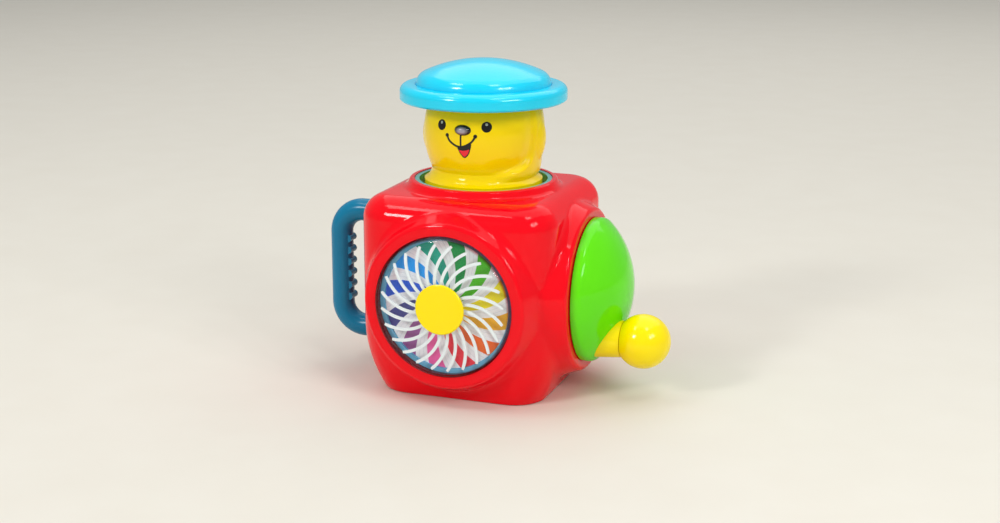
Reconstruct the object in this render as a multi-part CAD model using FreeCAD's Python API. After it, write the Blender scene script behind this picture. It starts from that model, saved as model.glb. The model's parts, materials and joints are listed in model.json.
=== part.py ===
import FreeCAD, Part
import math
import os
from FreeCAD import Vector

# Jack in the box in millimetres. Origin: middle of the base, +Z up, window towards -Y, crank towards +X.

# Box housing
box_half = 56.5
box_top = 112.5
box_wall = 2.5
side_edge_radius = 21.0
top_edge_radius = 13.5
base_edge_radius = 1.5
tuck_height = 40.0
tuck_radius = 93.0
axle_height = 57.5
boss_root = 10.5
boss_blend_share = 0.85
boss_rim_share = 0.4
window_reach = 64.0
window_ring = 6.3
window_boss_foot = 53.0
crank_reach = 64.0
crank_ring = 5.0
crank_boss_foot = 52.7
collar_height = 4.5
collar_ring = 2.5
collar_foot = 47.0
collar_root = 5.5
floor_thickness = 3.0

# Clearances
fit = 0.05
running = 0.08
seat = 0.2
free = 0.35

# Screws
shank_radius = 1.3
head_radius = 2.6
head_height = 1.6
post_radius = 4.3
post_height = 12.0
inner_post_radius = 3.8
post_place = 36.0

# Window with its lens, swirl and cup
window_radius = 39.5
lip_thickness = 2.0
lens_lap = 1.5
lens_side = 1.9
lens_shoulder = 3.4
lens_crown = 0.7
lens_wall = 1.4
swirl_thickness = 0.5
swirl_count = 24
swirl_margin = 4.2
swirl_sweep = 24.0
swirl_bend = 0.42
swirl_tuck = 1.0
swirl_root_width = 1.3
swirl_middle_width = 1.9
hub_cap_radius = 13.9
hub_cap_height = 1.3
hub_cap_chamfer = 0.5
hub_cap_pin = 2.0
hub_cap_pin_end = 1.0
cup_wall = 1.6
cup_floor = 2.0
cup_boss = 0.6
cup_flange_width = 6.5
cup_screw_offset = 3.2
cup_screw_length = 6.0
screw_ring_count = 4

# Turning rainbow wheel behind the window
wheel_margin = 0.8
wheel_thickness = 2.0
wheel_rim_width = 2.6
wheel_rim_height = 1.4
label_thickness = 0.2
wheel_hub_radius = 5.0
wheel_room = 4.6
spindle_radius = 2.0
spindle_front = 1.0
spindle_back = 0.3
spinner_teeth = 42
crown_pegs = 42
crown_module = 2.0
spinner_gear_width = 4.0
gear_window_size = 0.24
gear_window_place = 0.55

# Crank with its dome, knob and gears
dome_radius = 40.5
dome_gap = 0.6
dome_side = 2.5
dome_height = 23.0
dome_shoulder = 5.0
dome_wall = 2.2
crank_hub_radius = 8.0
crank_shaft_radius = 4.0
crank_journal_radius = 2.5
crank_pin_radius = 1.25
crank_pin_inset = 5.0
shaft_end_wall = 4.0
shaft_shoulder = 2.0
journal_overhang = 1.0
bush_wall = 1.4
bush_flange_radius = 8.0
bush_flange = 1.2
bush_gap = 2.75
knob_throw = 26.3
knob_angle = -24.3
knob_radius = 15.2
knob_reach = 34.0
knob_pin_radius = 3.0
stem_base_radius = 12.0
stem_end_radius = 10.2
crown_disc = 2.7
crown_hub = 6.7
crown_rim = 2.5
peg_radius = 1.25
pressure_angle = 25.0
tooth_addendum = 0.85
tooth_dedendum = 1.1
tooth_backlash = 0.2

# Music movement on the floor
music_module = 1.0
pinion_teeth = 10
drum_teeth = 50
music_gear_width = 3.5
music_gear_place = 34.0
drum_bearing_angle = -36.87
drum_radius = 8.0
drum_shaft_radius = 2.0
drum_pin_height = 0.8
drum_pin_radius = 0.35
drum_pin_count = 30
drum_shaft_end = 1.0
comb_teeth = 12
comb_slot = 0.35
comb_thickness = 1.0
comb_length = 13.0
comb_bar_width = 5.0
comb_root = 0.5
comb_screw_length = 4.0
frame_sheet = 2.5
cheek_margin = 6.0
cheek_shoulder = 4.0
left_cheek_place = 8.0
right_cheek_place = 28.5
cam_width = 4.0
cam_place = 2.0
cam_radius = 4.0
cam_tip_radius = 1.6
floor_pad_rise = 7.0
floor_screw_end = 2.0
floor_screw_left = 7.0
floor_screw_right = 4.0
floor_screw_front = 17.0
floor_screw_back = 29.0

# Guide sleeve, figure and hat
sleeve_inner = 37.4
sleeve_wall = 1.3
sleeve_lip = 1.2
sleeve_lip_depth = 5.3
sleeve_bottom = 66.0
sleeve_flange = 2.0
sleeve_flange_width = 7.6
sleeve_screw_offset = 4.6
sleeve_screw_length = 5.0
sleeve_sink = 0.5
figure_travel = 43.0
figure_gap = 0.3
figure_flange = 3.0
figure_groove = 3.5
figure_wall = 2.2
skirt_radius = 33.2
neck_radius = 29.0
head_radius_wide = 33.3
head_radius_top = 29.3
skirt_height = 2.6
neck_height = 9.0
neck_flare = 1.0
neck_flare_height = 0.45
head_middle = 28.0
head_top = 49.0
arm_radius = 13.4
arm_half_height = 23.0
arm_angle = 92.0
arm_raise = 2.0
nose_width = 5.2
nose_height = 3.3
nose_reach = 2.4
nose_sink = 0.3
nose_raise = 6.4
figure_screw_place = 16.8
figure_screw_bite = 9.0
figure_screw_end = 2.0
stem_tube_wall = 2.2
stem_tube_length = 42.0
guide_post_radius = 6.0
guide_post_flat = 5.0
guide_post_top = 75.0
hat_lift = 44.0
hat_brim_radius = 46.8
hat_brim_height = 9.0
hat_brim_round = 4.0
hat_groove = 0.8
hat_crown_radius = 37.6
hat_crown_height = 13.6
hat_crown_shoulder = 7.0
hat_edge = 1.0
hat_screw_bite = 6.0
hat_base_gap = 1.2
hat_base_sink = 0.4
hat_wall = 2.2

# Pop spring
spring_radius = 12.5
spring_wire = 0.8
spring_turns = 14

# Latch
latch_width = 5.0
latch_pin_radius = 1.5
latch_hinge_x = -37.0
latch_hinge_z = 47.0
latch_arm = 4.0
latch_arm_bottom = 49.5
latch_nose = 2.6
latch_dip = 1.5
latch_overhang = 1.0
latch_bracket_sheet = 2.5
latch_bracket_half = 3.5
latch_web = 1.5
latch_web_drop = 2.0
latch_foot = 13.0
latch_screw_near = 1.0
latch_screw_far = 9.0
latch_boss_radius = 4.5

# Carrying handle
handle_radius = 6.5
handle_reach = 88.5
handle_top = 92.0
handle_bottom = 22.0
handle_bend = 14.0
socket_radius = 10.5
socket_reach = 62.5
socket_floor = 56.2
handle_screw_seat = 49.5
handle_screw_length = 16.0
grip_rib_pitch = 7.0
grip_rib_radius = 2.2
grip_rib_sink = 0.6

X = Vector(1, 0, 0)
Y = Vector(0, 1, 0)
Z = Vector(0, 0, 1)
OUT = Vector(0, -1, 0)

tuck_inset = tuck_radius - math.sqrt(tuck_radius ** 2 - tuck_height ** 2)
base_half = box_half - tuck_inset
inner_half = box_half - box_wall
ceiling = box_top - box_wall
collar_top = box_top + collar_height
window_boss_radius = window_radius + window_ring
lens_flange_radius = window_radius + lens_lap
swirl_reach = window_radius - swirl_margin
cup_flange_radius = lens_flange_radius + cup_flange_width
cup_screw_circle = lens_flange_radius + cup_screw_offset
wheel_radius = lens_flange_radius - cup_wall - wheel_margin
crank_boss_radius = dome_radius + crank_ring
sleeve_outer = sleeve_inner + sleeve_wall
sleeve_lip_inner = sleeve_inner - sleeve_lip
sleeve_flange_radius = sleeve_inner + sleeve_flange_width
sleeve_screw_circle = sleeve_inner + sleeve_screw_offset
collar_radius = sleeve_outer + seat + collar_ring
figure_flange_radius = sleeve_inner - figure_gap
arm_centre = sleeve_lip_inner - figure_gap - arm_radius
drum_distance = music_module * (pinion_teeth + drum_teeth) / 2
drum_y = drum_distance * math.cos(math.radians(drum_bearing_angle))
drum_z = axle_height + drum_distance * math.sin(math.radians(drum_bearing_angle))
spinner_radius = crown_module * spinner_teeth / 2
crown_radius = crown_module * crown_pegs / 2
axle = Vector(0, 0, axle_height)


def rod(radius, start, axis, length):
    return Part.makeCylinder(radius, length, start, axis)


def pipe(outer, inner, start, axis, length):
    return rod(outer, start, axis, length).cut(rod(inner, start, axis, length))


def block(x0, x1, y0, y1, z0, z1):
    return Part.makeBox(x1 - x0, y1 - y0, z1 - z0, Vector(x0, y0, z0))


def joined(shapes):
    return shapes[0].fuse(shapes[1:]).removeSplitter()


# A solid of revolution: each step is a point (radius, along), or an arc as (point on the way, end point).
def turned(steps, start, axis):
    side = Y if abs(axis.dot(X)) > 0.5 else X

    def place(point):
        return start + side * point[0] + axis * point[1]

    edges = []
    last = steps[0]
    for step in steps[1:] + steps[:1]:
        if isinstance(step[0], tuple):
            edges.append(Part.Arc(place(last), place(step[0]), place(step[1])).toShape())
            last = step[1]
        elif step != last:
            edges.append(Part.makeLine(place(last), place(step)))
            last = step
    return Part.Face(Part.Wire(edges)).revolve(start, axis, 360)


def ring_of(shape, count, centre, axis, first=0.0):
    copies = []
    for index in range(count):
        copy = shape.copy()
        copy.rotate(centre, axis, first + 360.0 * index / count)
        copies.append(copy)
    return copies


# A pan head screw: the head's flat underside lies on the seat and the shank runs along the axis.
def screw(seat_point, axis, length):
    shank = rod(shank_radius, seat_point, axis, length)
    head = rod(head_radius, seat_point, axis * -1, head_height)
    return shank.fuse(head).removeSplitter()


def screw_hole(seat_point, axis, length):
    return rod(shank_radius + fit, seat_point, axis, length + seat)


def sphere_height(radius, apex, at):
    return apex - radius + math.sqrt(radius ** 2 - at ** 2)


# Involute gear teeth: each flank is one arc through three points of the involute.
def gear_face(teeth, module):
    pressure = math.radians(pressure_angle)
    pitch = teeth * module / 2
    base = pitch * math.cos(pressure)
    tip = pitch + tooth_addendum * module
    root = pitch - tooth_dedendum * module
    half_tooth = (math.pi * module / 2 - tooth_backlash) / (2 * pitch)

    def half_angle(radius):
        angle = math.acos(min(1.0, base / radius))
        return half_tooth + math.tan(pressure) - pressure - (math.tan(angle) - angle)

    def at(radius, angle):
        return Vector(radius * math.cos(angle), radius * math.sin(angle), 0)

    foot = max(base, root)
    middle = (foot + tip) / 2
    step = 2 * math.pi / teeth
    edges = []
    for index in range(teeth):
        centre = index * step
        low, mid, high = half_angle(foot), half_angle(middle), half_angle(tip)
        if root < base:
            edges.append(Part.makeLine(at(root, centre - low), at(foot, centre - low)))
        edges.append(Part.Arc(at(foot, centre - low), at(middle, centre - mid),
                              at(tip, centre - high)).toShape())
        edges.append(Part.Arc(at(tip, centre - high), at(tip, centre), at(tip, centre + high)).toShape())
        edges.append(Part.Arc(at(tip, centre + high), at(middle, centre + mid),
                              at(foot, centre + low)).toShape())
        if root < base:
            edges.append(Part.makeLine(at(foot, centre + low), at(root, centre + low)))
        edges.append(Part.Arc(at(root, centre + low), at(root, centre + step / 2),
                              at(root, centre + step - low)).toShape())
    return Part.Face(Part.Wire(edges))


# Gears on an axle along X start at +Y and turn towards +Z; along Y they start at +Z and turn towards +X.
def gear_along_x(teeth, module, width, start, angle):
    gear = gear_face(teeth, module).extrude(Z * width)
    gear.rotate(Vector(), Z, angle)
    gear.rotate(Vector(), Vector(1, 1, 1), 120)
    gear.translate(start)
    return gear


def gear_along_y(teeth, module, width, start, angle):
    gear = gear_face(teeth, module).extrude(Z * width)
    gear.rotate(Vector(), Z, angle)
    gear.rotate(Vector(), Vector(1, 1, 1), -120)
    gear.translate(start)
    return gear


# Box silhouette: straight walls that curve in towards the base.
def box_profile(half, foot_half, top, across):
    inset = half - foot_half
    radius = (tuck_height ** 2 + inset ** 2) / (2 * inset)
    turn = math.asin(tuck_height / radius) / 2
    waist = half - radius + radius * math.cos(turn)
    waist_height = tuck_height - radius * math.sin(turn)

    def at(side, height):
        return across * side + Z * height

    edges = [
        Part.makeLine(at(-foot_half, 0), at(foot_half, 0)),
        Part.Arc(at(foot_half, 0), at(waist, waist_height), at(half, tuck_height)).toShape(),
        Part.makeLine(at(half, tuck_height), at(half, top)),
        Part.makeLine(at(half, top), at(-half, top)),
        Part.makeLine(at(-half, top), at(-half, tuck_height)),
        Part.Arc(at(-half, tuck_height), at(-waist, waist_height), at(-foot_half, 0)).toShape(),
    ]
    return Part.Face(Part.Wire(edges))


def rounded_box(half, foot_half, top, side_radius, top_radius):
    length = 2 * half
    wide = box_profile(half, foot_half, top, X).extrude(Y * length)
    wide.translate(Y * -half)
    deep = box_profile(half, foot_half, top, Y).extrude(X * length)
    deep.translate(X * -half)
    solid = wide.common(deep).Solids[0]

    def middle(edge):
        return edge.valueAt((edge.FirstParameter + edge.LastParameter) / 2)

    upright = [e for e in solid.Edges
               if abs(abs(middle(e).x) - abs(middle(e).y)) < 1e-3 and middle(e).z > fit]
    solid = solid.makeFillet(side_radius, upright)
    rim = [e for e in solid.Edges if abs(middle(e).z - top) < 1e-6]
    return solid.makeFillet(top_radius, rim)


# A round boss with sloping flanks: blended into the box at its foot and rounded at its rim.
def with_boss(solid, radius, foot_radius, wall, reach, root, start, axis):
    rise = reach - wall
    depth = rise + root
    boss = Part.makeCone(foot_radius, radius, depth, start + axis * (wall - root), axis)
    body = solid.fuse(boss).removeSplitter()

    def height(point):
        return (point - start).dot(axis)

    def spread(point):
        offset = point - start
        return (offset - axis * offset.dot(axis)).Length

    def samples(edge):
        span = edge.LastParameter - edge.FirstParameter
        return [edge.valueAt(edge.FirstParameter + span * step / 8) for step in range(9)]

    def on_boss(edge):
        flank = [radius + (foot_radius - radius) * (reach - height(p)) / depth for p in samples(edge)]
        return all(abs(spread(p) - r) < 1e-3 for p, r in zip(samples(edge), flank))

    def on_rim(edge):
        return all(abs(height(p) - reach) < 1e-4 for p in samples(edge))

    def straight(edge):
        return edge.Curve.TypeId == "Part::GeomLine"

    foot = [e for e in body.Edges if on_boss(e) and not on_rim(e) and not straight(e)]
    body = body.makeFillet(boss_blend_share * rise, foot)
    rim = [e for e in body.Edges if on_boss(e) and on_rim(e)]
    return body.makeFillet(boss_rim_share * rise, rim)


def base_screw_places():
    return [Vector(sx * post_place, sy * post_place, 0) for sx in (-1, 1) for sy in (-1, 1)]


def cup_screw_seats():
    point = axle + Vector(cup_screw_circle, cup_floor - inner_half, 0)
    angles = [45 + 360.0 * i / screw_ring_count for i in range(screw_ring_count)]
    return [rotated(point, axle, Y, a) for a in angles]


def sleeve_screw_seats():
    point = Vector(sleeve_screw_circle, 0, ceiling - sleeve_flange)
    angles = [45 + 360.0 * i / screw_ring_count for i in range(screw_ring_count)]
    return [rotated(point, Vector(), Z, a) for a in angles]


def rotated(point, centre, axis, angle):
    return centre + FreeCAD.Rotation(axis, angle).multVec(point - centre)


def handle_arm_heights():
    return (handle_bottom, handle_top)


# Room inside the housing, drawn in by a clearance.
def cavity(gap):
    inset = box_wall + gap
    return rounded_box(box_half - inset, base_half - inset, box_top - inset,
                       side_edge_radius - inset, top_edge_radius - inset)


def body_shell():
    solid = rounded_box(box_half, base_half, box_top, side_edge_radius, top_edge_radius)
    base_rim = [e for e in solid.Edges if e.BoundBox.ZMax < fit]
    solid = solid.makeFillet(base_edge_radius, base_rim)
    side_bosses = [(window_reach, window_boss_radius, window_boss_foot, OUT),
                   (crank_reach, crank_boss_radius, crank_boss_foot, X)]
    for reach, radius, foot, axis in sorted(side_bosses, key=lambda boss: -boss[0]):
        solid = with_boss(solid, radius, foot, box_half, reach, boss_root, axle, axis)
    solid = with_boss(solid, collar_radius, collar_foot, box_top, collar_top, collar_root, Vector(), Z)
    outer = solid
    for height in handle_arm_heights():
        start = Vector(-socket_floor + box_wall * 2, 0, height)
        solid = solid.fuse(rod(socket_radius, start, X * -1, socket_reach + start.x))
    crank_hollow = rod(crank_boss_radius - box_wall, axle + X * (inner_half - box_wall), X,
                       crank_reach - inner_half)
    solid = solid.cut(cavity(0).fuse(crank_hollow))
    bush_hub = rod(bush_radius() + box_wall, axle + X * (bush_start() + seat), X,
                   crank_reach - bush_start() - seat - box_wall / 2)
    additions = [bush_hub]
    for place in base_screw_places():
        post = rod(post_radius, place + Z * floor_thickness, Z, post_height - floor_thickness)
        web = block(0, side_edge_radius, -box_wall / 2, box_wall / 2, floor_thickness, post_height)
        web.rotate(Vector(), Z, math.degrees(math.atan2(place.y, place.x)))
        web.translate(place)
        additions.append(post.fuse(web).common(outer))
    for height in handle_arm_heights():
        start = Vector(-handle_screw_seat, 0, height)
        additions.append(rod(handle_radius, start, X * -1, socket_floor - handle_screw_seat + box_wall / 2))
    solid = solid.fuse(additions)
    cuts = [
        rod(window_radius, axle, OUT, window_reach),
        rod(lens_flange_radius + seat, axle, OUT, window_reach - lip_thickness),
        rod(sleeve_outer + seat, Z * (ceiling - box_wall), Z, box_wall + collar_top),
        rod(bush_radius() + fit, axle + X * inner_half / 2, X, crank_reach),
    ]
    for height in handle_arm_heights():
        start = Vector(-socket_floor, 0, height)
        cuts.append(rod(handle_radius + seat, start, X * -1, socket_reach))
        cuts.append(rod(shank_radius + seat, Vector(-handle_screw_seat + box_wall, 0, height), X * -1,
                        handle_screw_length))
    for place in base_screw_places():
        cuts.append(screw_hole(place, Z, post_height - box_wall))
    for seat_point in cup_screw_seats():
        cuts.append(screw_hole(seat_point, OUT, cup_screw_length))
    for seat_point in sleeve_screw_seats():
        cuts.append(screw_hole(seat_point, Z, sleeve_screw_length))
    return solid.cut(cuts).removeSplitter()


def bush_radius():
    return crank_shaft_radius + running + bush_wall


def bush_start():
    return crown_face() + crown_hub + bush_gap


def floor_screw_places():
    return [
        Vector(left_cheek_place + floor_screw_left, floor_screw_front, 0),
        Vector(right_cheek_place - floor_screw_right, floor_screw_front, 0),
        Vector((left_cheek_place + right_cheek_place) / 2, floor_screw_back, 0),
        Vector(latch_hinge_x + latch_screw_near, drum_y, 0),
        Vector(latch_hinge_x + latch_screw_far, drum_y, 0),
    ]


def base_plate():
    half = base_half - box_wall - seat
    corner = side_edge_radius - box_wall - seat
    plate = block(-half, half, -half, half, 0, floor_thickness)
    uprights = [e for e in plate.Edges if abs(e.tangentAt(e.FirstParameter).z) > 0.5]
    plate = plate.makeFillet(corner, uprights)
    post = rod(guide_post_radius, Vector(), Z, guide_post_top)
    post = post.common(block(-guide_post_flat, guide_post_flat, -box_half, box_half, 0, guide_post_top))
    spring_collar = rod(spring_radius - spring_wire - seat, Vector(), Z, 2 * floor_thickness)
    plate = joined([plate, post, spring_collar])
    cuts = []
    for place in base_screw_places() + floor_screw_places():
        cuts.append(rod(head_radius + seat, place, Z, head_height + seat))
        cuts.append(rod(shank_radius + seat, place, Z, floor_thickness))
    return plate.cut(cuts)


def base_screws():
    seat_height = Z * (head_height + seat)
    return Part.makeCompound([screw(p + seat_height, Z, post_height - box_wall - head_height - 2 * seat)
                              for p in base_screw_places()])


def floor_screws():
    seat_height = Z * (head_height + seat)
    return Part.makeCompound([screw(p + seat_height, Z, floor_screw_length()) for p in floor_screw_places()])


def floor_screw_length():
    return floor_pad_height() - head_height - floor_screw_end


def floor_screw_hole(place):
    return screw_hole(place + Z * (head_height + seat), Z, floor_screw_length())


def floor_pad_height():
    return floor_thickness + floor_pad_rise


def floor_pad(place):
    start = place + Z * floor_thickness
    return rod(inner_post_radius, start, Z, floor_pad_rise)


def guide_sleeve():
    outer = sleeve_outer
    rim = collar_top - sleeve_sink
    lip_bottom = rim - sleeve_lip_depth
    body = turned([
        (sleeve_inner, sleeve_bottom), (outer, sleeve_bottom), (outer, ceiling - sleeve_flange),
        (sleeve_flange_radius, ceiling - sleeve_flange), (sleeve_flange_radius, ceiling), (outer, ceiling),
        (outer, rim), (sleeve_lip_inner, rim), (sleeve_lip_inner, lip_bottom), (sleeve_inner, lip_bottom),
    ], Vector(), Z)
    cuts = [screw_hole(p - Z * seat, Z, sleeve_flange + seat) for p in sleeve_screw_seats()]
    slot_half = latch_width / 2 + latch_overhang
    cuts.append(block(-collar_radius, -figure_groove, drum_y - slot_half, drum_y + slot_half,
                      sleeve_bottom, nose_level() + latch_nose + latch_overhang))
    room = cavity(fit).fuse(rod(outer + fit, Z * sleeve_bottom, Z, collar_top - sleeve_bottom))
    return body.cut(cuts).common(room)


def sleeve_screws():
    return Part.makeCompound([screw(p, Z, sleeve_screw_length) for p in sleeve_screw_seats()])


def lens_face_radius():
    return window_radius - seat - lens_shoulder


# Radius of the wide sphere that crowns the lens.
def lens_radius():
    return (lens_face_radius() ** 2 + lens_crown ** 2) / (2 * lens_crown)


def lens_apex():
    return window_reach - lip_thickness + lens_side + lens_shoulder + lens_crown


def lens_back():
    return window_reach - lip_thickness - lens_wall - fit


def window_lens():
    edge = window_radius - seat
    face = lens_face_radius()
    front = window_reach - lip_thickness
    shoulder_start = front + lens_side
    hole = hub_cap_pin + fit

    def crown(at, depth):
        return sphere_height(lens_radius() - depth, lens_apex() - depth, at)

    def shoulder(depth):
        reach = (lens_shoulder - depth) * math.sqrt(0.5)
        return (face + reach, shoulder_start + reach)

    return turned([
        (hole, crown(hole, lens_wall)),
        ((face / 2, crown(face / 2, lens_wall)), (face, crown(face, lens_wall))),
        (shoulder(lens_wall), (edge - lens_wall, shoulder_start)), (edge - lens_wall, lens_back()),
        (lens_flange_radius, lens_back()), (lens_flange_radius, front), (edge, front), (edge, shoulder_start),
        (shoulder(0), (face, crown(face, 0))), ((face / 2, crown(face / 2, 0)), (hole, crown(hole, 0))),
    ], axle, OUT)


# One curved white blade of the swirl, from the hub to a pointed tip that trails clockwise.
def swirl_blade():
    root = hub_cap_radius - swirl_tuck
    half_root = math.degrees(swirl_root_width / 2 / root)
    middle = (root + swirl_reach) / 2
    half_middle = math.degrees(swirl_middle_width / 2 / middle)
    bend = swirl_sweep * swirl_bend

    def at(radius, degrees):
        angle = math.radians(degrees)
        return axle + X * (radius * math.cos(angle)) + Z * (radius * math.sin(angle))

    tip = at(swirl_reach, -swirl_sweep)
    edges = [
        Part.makeLine(at(root, -half_root), at(root, half_root)),
        Part.Arc(at(root, half_root), at(middle, half_middle - bend), tip).toShape(),
        Part.Arc(tip, at(middle, -half_middle - bend), at(root, -half_root)).toShape(),
    ]
    return Part.Face(Part.Wire(edges)).extrude(OUT * lens_apex())


def swirl_grille():
    radius = lens_radius() - lens_wall - fit
    apex = lens_apex() - lens_wall - fit
    reach = swirl_reach + swirl_tuck
    hole = hub_cap_pin + fit

    def height(at, depth):
        return sphere_height(radius - depth, apex - depth, at)

    sheet = turned([
        (hole, height(hole, swirl_thickness)),
        ((reach / 2, height(reach / 2, swirl_thickness)), (reach, height(reach, swirl_thickness))),
        (reach, height(reach, 0)), ((reach / 2, height(reach / 2, 0)), (hole, height(hole, 0))),
    ], axle, OUT)
    blades = ring_of(swirl_blade(), swirl_count, axle, Y)
    hub = rod(hub_cap_radius - swirl_tuck / 2, axle, OUT, lens_apex())
    return sheet.common(joined([hub] + blades))


def hub_cap():
    radius, apex = lens_radius() + fit, lens_apex() + fit
    front = lens_apex() + hub_cap_height
    edge = hub_cap_radius
    pin_end = lens_apex() - lens_wall - swirl_thickness - hub_cap_pin_end
    return turned([
        (0, pin_end), (hub_cap_pin, pin_end), (hub_cap_pin, sphere_height(radius, apex, hub_cap_pin)),
        ((edge / 2, sphere_height(radius, apex, edge / 2)), (edge, sphere_height(radius, apex, edge))),
        (edge, front - hub_cap_chamfer), (edge - hub_cap_chamfer, front), (0, front),
    ], axle, OUT)


def cup_back():
    return spinner_gear_front() + free + cup_boss


def window_cup():
    front = lens_back() - fit
    back = cup_back()
    flange_front = inner_half
    outer = lens_flange_radius
    inner = outer - cup_wall
    hole = spindle_radius + running
    boss = wheel_hub_radius
    body = turned([
        (hole, back - cup_boss), (boss, back - cup_boss), (boss, back), (outer, back),
        (outer, flange_front - cup_floor), (cup_flange_radius, flange_front - cup_floor),
        (cup_flange_radius, flange_front), (outer, flange_front), (outer, front), (inner, front),
        (inner, back + cup_floor), (hole, back + cup_floor),
    ], axle, OUT)
    room = cavity(fit).fuse(rod(outer + fit, axle, OUT, window_reach))
    holes = [screw_hole(p - OUT * seat, OUT, cup_screw_length) for p in cup_screw_seats()]
    return body.cut(holes).common(room)


def cup_screws():
    return Part.makeCompound([screw(p, OUT, cup_screw_length) for p in cup_screw_seats()])


def wheel_back():
    return lens_back() - wheel_room


def spinner_wheel():
    back = wheel_back()
    front = back + wheel_thickness
    hub_back = cup_back() + cup_floor + seat
    rim = wheel_radius - wheel_rim_width
    hole = spindle_radius + fit
    return turned([
        (hole, hub_back), (wheel_hub_radius, hub_back), (wheel_hub_radius, back), (wheel_radius, back),
        (wheel_radius, front + wheel_rim_height), (rim, front + wheel_rim_height), (rim, front),
        (hole, front),
    ], axle, OUT)


def rainbow_disc():
    start = axle + OUT * (wheel_back() + wheel_thickness)
    return pipe(wheel_radius - wheel_rim_width - seat, spindle_radius + fit, start, OUT, label_thickness)


def spinner_gear_front():
    return crown_radius + spinner_gear_width / 2 + seat


def spinner_shaft():
    end = spinner_gear_front() - spinner_gear_width - spindle_back
    return rod(spindle_radius, axle + OUT * end, OUT, wheel_back() + wheel_thickness + spindle_front - end)


# A ring of round windows that lightens a gear.
def gear_windows(radius, count, start, axis, side, width):
    window = rod(radius * gear_window_size, start + side * (radius * gear_window_place), axis, width)
    return ring_of(window, count, start, axis)


# A gap between two teeth faces the crown wheel.
def spinner_gear():
    start = axle + OUT * spinner_gear_front()
    gap_angle = 90 + 180.0 / spinner_teeth
    gear = gear_along_y(spinner_teeth, crown_module, spinner_gear_width, start, gap_angle)
    windows = gear_windows(spinner_radius, 6, start, Y, X, spinner_gear_width)
    return gear.cut([rod(spindle_radius + fit, start, Y, spinner_gear_width)] + windows)


def carry_handle():
    low, high = handle_arm_heights()
    arm_end = -socket_floor
    bend_x = -handle_reach + handle_bend

    def at(x, z):
        return Vector(x, 0, z)

    diagonal = handle_bend * (1 - math.sqrt(0.5))
    top_bend = at(-handle_reach + diagonal, high - diagonal)
    low_bend = at(-handle_reach + diagonal, low + diagonal)
    path = Part.Wire([
        Part.makeLine(at(arm_end, high), at(bend_x, high)),
        Part.Arc(at(bend_x, high), top_bend, at(-handle_reach, high - handle_bend)).toShape(),
        Part.makeLine(at(-handle_reach, high - handle_bend), at(-handle_reach, low + handle_bend)),
        Part.Arc(at(-handle_reach, low + handle_bend), low_bend, at(bend_x, low)).toShape(),
        Part.makeLine(at(bend_x, low), at(arm_end, low)),
    ])
    section = Part.Wire(Part.makeCircle(handle_radius, at(arm_end, high), X))
    bar = path.makePipeShell([section], True, False)
    grip = high - low - 2 * handle_bend
    count = int(grip / grip_rib_pitch)
    ribs = []
    for index in range(count):
        height = (high + low) / 2 + (index - (count - 1) / 2) * grip_rib_pitch
        centre = at(-handle_reach + handle_radius - grip_rib_radius * grip_rib_sink, height)
        rib_half = handle_radius * grip_rib_sink
        ribs.append(rod(grip_rib_radius, centre - Y * rib_half, Y, 2 * rib_half))
    bar = joined([bar] + ribs)
    return bar.cut([screw_hole(at(arm_end, z), X * -1, handle_screw_length) for z in (low, high)])


def handle_screws():
    return Part.makeCompound([screw(Vector(-handle_screw_seat, 0, z), X * -1, handle_screw_length)
                              for z in handle_arm_heights()])


def crank_bush():
    bore = crank_shaft_radius + running
    return turned([
        (bore, bush_start()), (bush_radius(), bush_start()),
        (bush_radius(), crank_reach), (bush_flange_radius, crank_reach),
        (bush_flange_radius, crank_reach + bush_flange), (bore, crank_reach + bush_flange),
    ], axle, X)


def dome_base():
    return crank_reach + dome_gap


# Steps of a domed outline: an upright side, a round shoulder and a wide crown that meets it smoothly.
def domed(rim, side, height, shoulder):
    across, up = rim - shoulder, height - side
    crown = (across ** 2 + up ** 2 - shoulder ** 2) / (2 * (up - shoulder))
    centre = height - crown
    lean = math.atan2(across, side - centre)
    bend = (lean + math.pi / 2) / 2

    def on_crown(angle):
        return (crown * math.sin(angle), centre + crown * math.cos(angle))

    bend_point = (across + shoulder * math.sin(bend), side + shoulder * math.cos(bend))
    return [(rim, side), (bend_point, on_crown(lean)), (on_crown(lean / 2), (0, height))]


def dome_solid(offset):
    outline = domed(dome_radius - offset, dome_side, dome_height - offset, dome_shoulder - offset)
    return turned([(0, 0), (dome_radius - offset, 0)] + outline, axle + X * dome_base(), X)


def knob_axis():
    angle = math.radians(knob_angle)
    return axle + Y * (knob_throw * math.sin(angle)) - Z * (knob_throw * math.cos(angle))


def crank_shaft_end():
    return dome_base() + dome_height - dome_wall - shaft_end_wall


def crank_pin_place():
    return dome_base() + bush_flange + crank_pin_inset


def crank_disc():
    shell = dome_solid(0).cut(dome_solid(dome_wall))
    hub_start = axle + X * (crank_reach + bush_flange + seat)
    knob_start = knob_axis() + X * (dome_base() + seat)
    inside = joined([
        rod(crank_hub_radius, hub_start, X, dome_height),
        rod(knob_pin_radius * 2, knob_start, X, dome_height),
    ]).common(dome_solid(fit))
    shaft_bore = rod(crank_shaft_radius + fit, hub_start, X, crank_shaft_end() - hub_start.x + fit)
    pin_bore = rod(knob_pin_radius + fit, knob_start, X, dome_height)
    return joined([shell, inside]).cut([shaft_bore, pin_bore, crank_pin_rod(fit)])


def crank_pin_rod(gap):
    start = axle + X * crank_pin_place() - Y * crank_hub_radius
    return rod(crank_pin_radius + gap, start, Y, 2 * crank_hub_radius)


def crank_pin():
    return crank_pin_rod(0)


def knob_centre():
    return knob_axis() + X * (crank_reach + knob_reach)


# The ball is cut flat where its section is as wide as the stem's end.
def knob_flat():
    return knob_centre().x - math.sqrt(knob_radius ** 2 - stem_end_radius ** 2)


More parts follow.
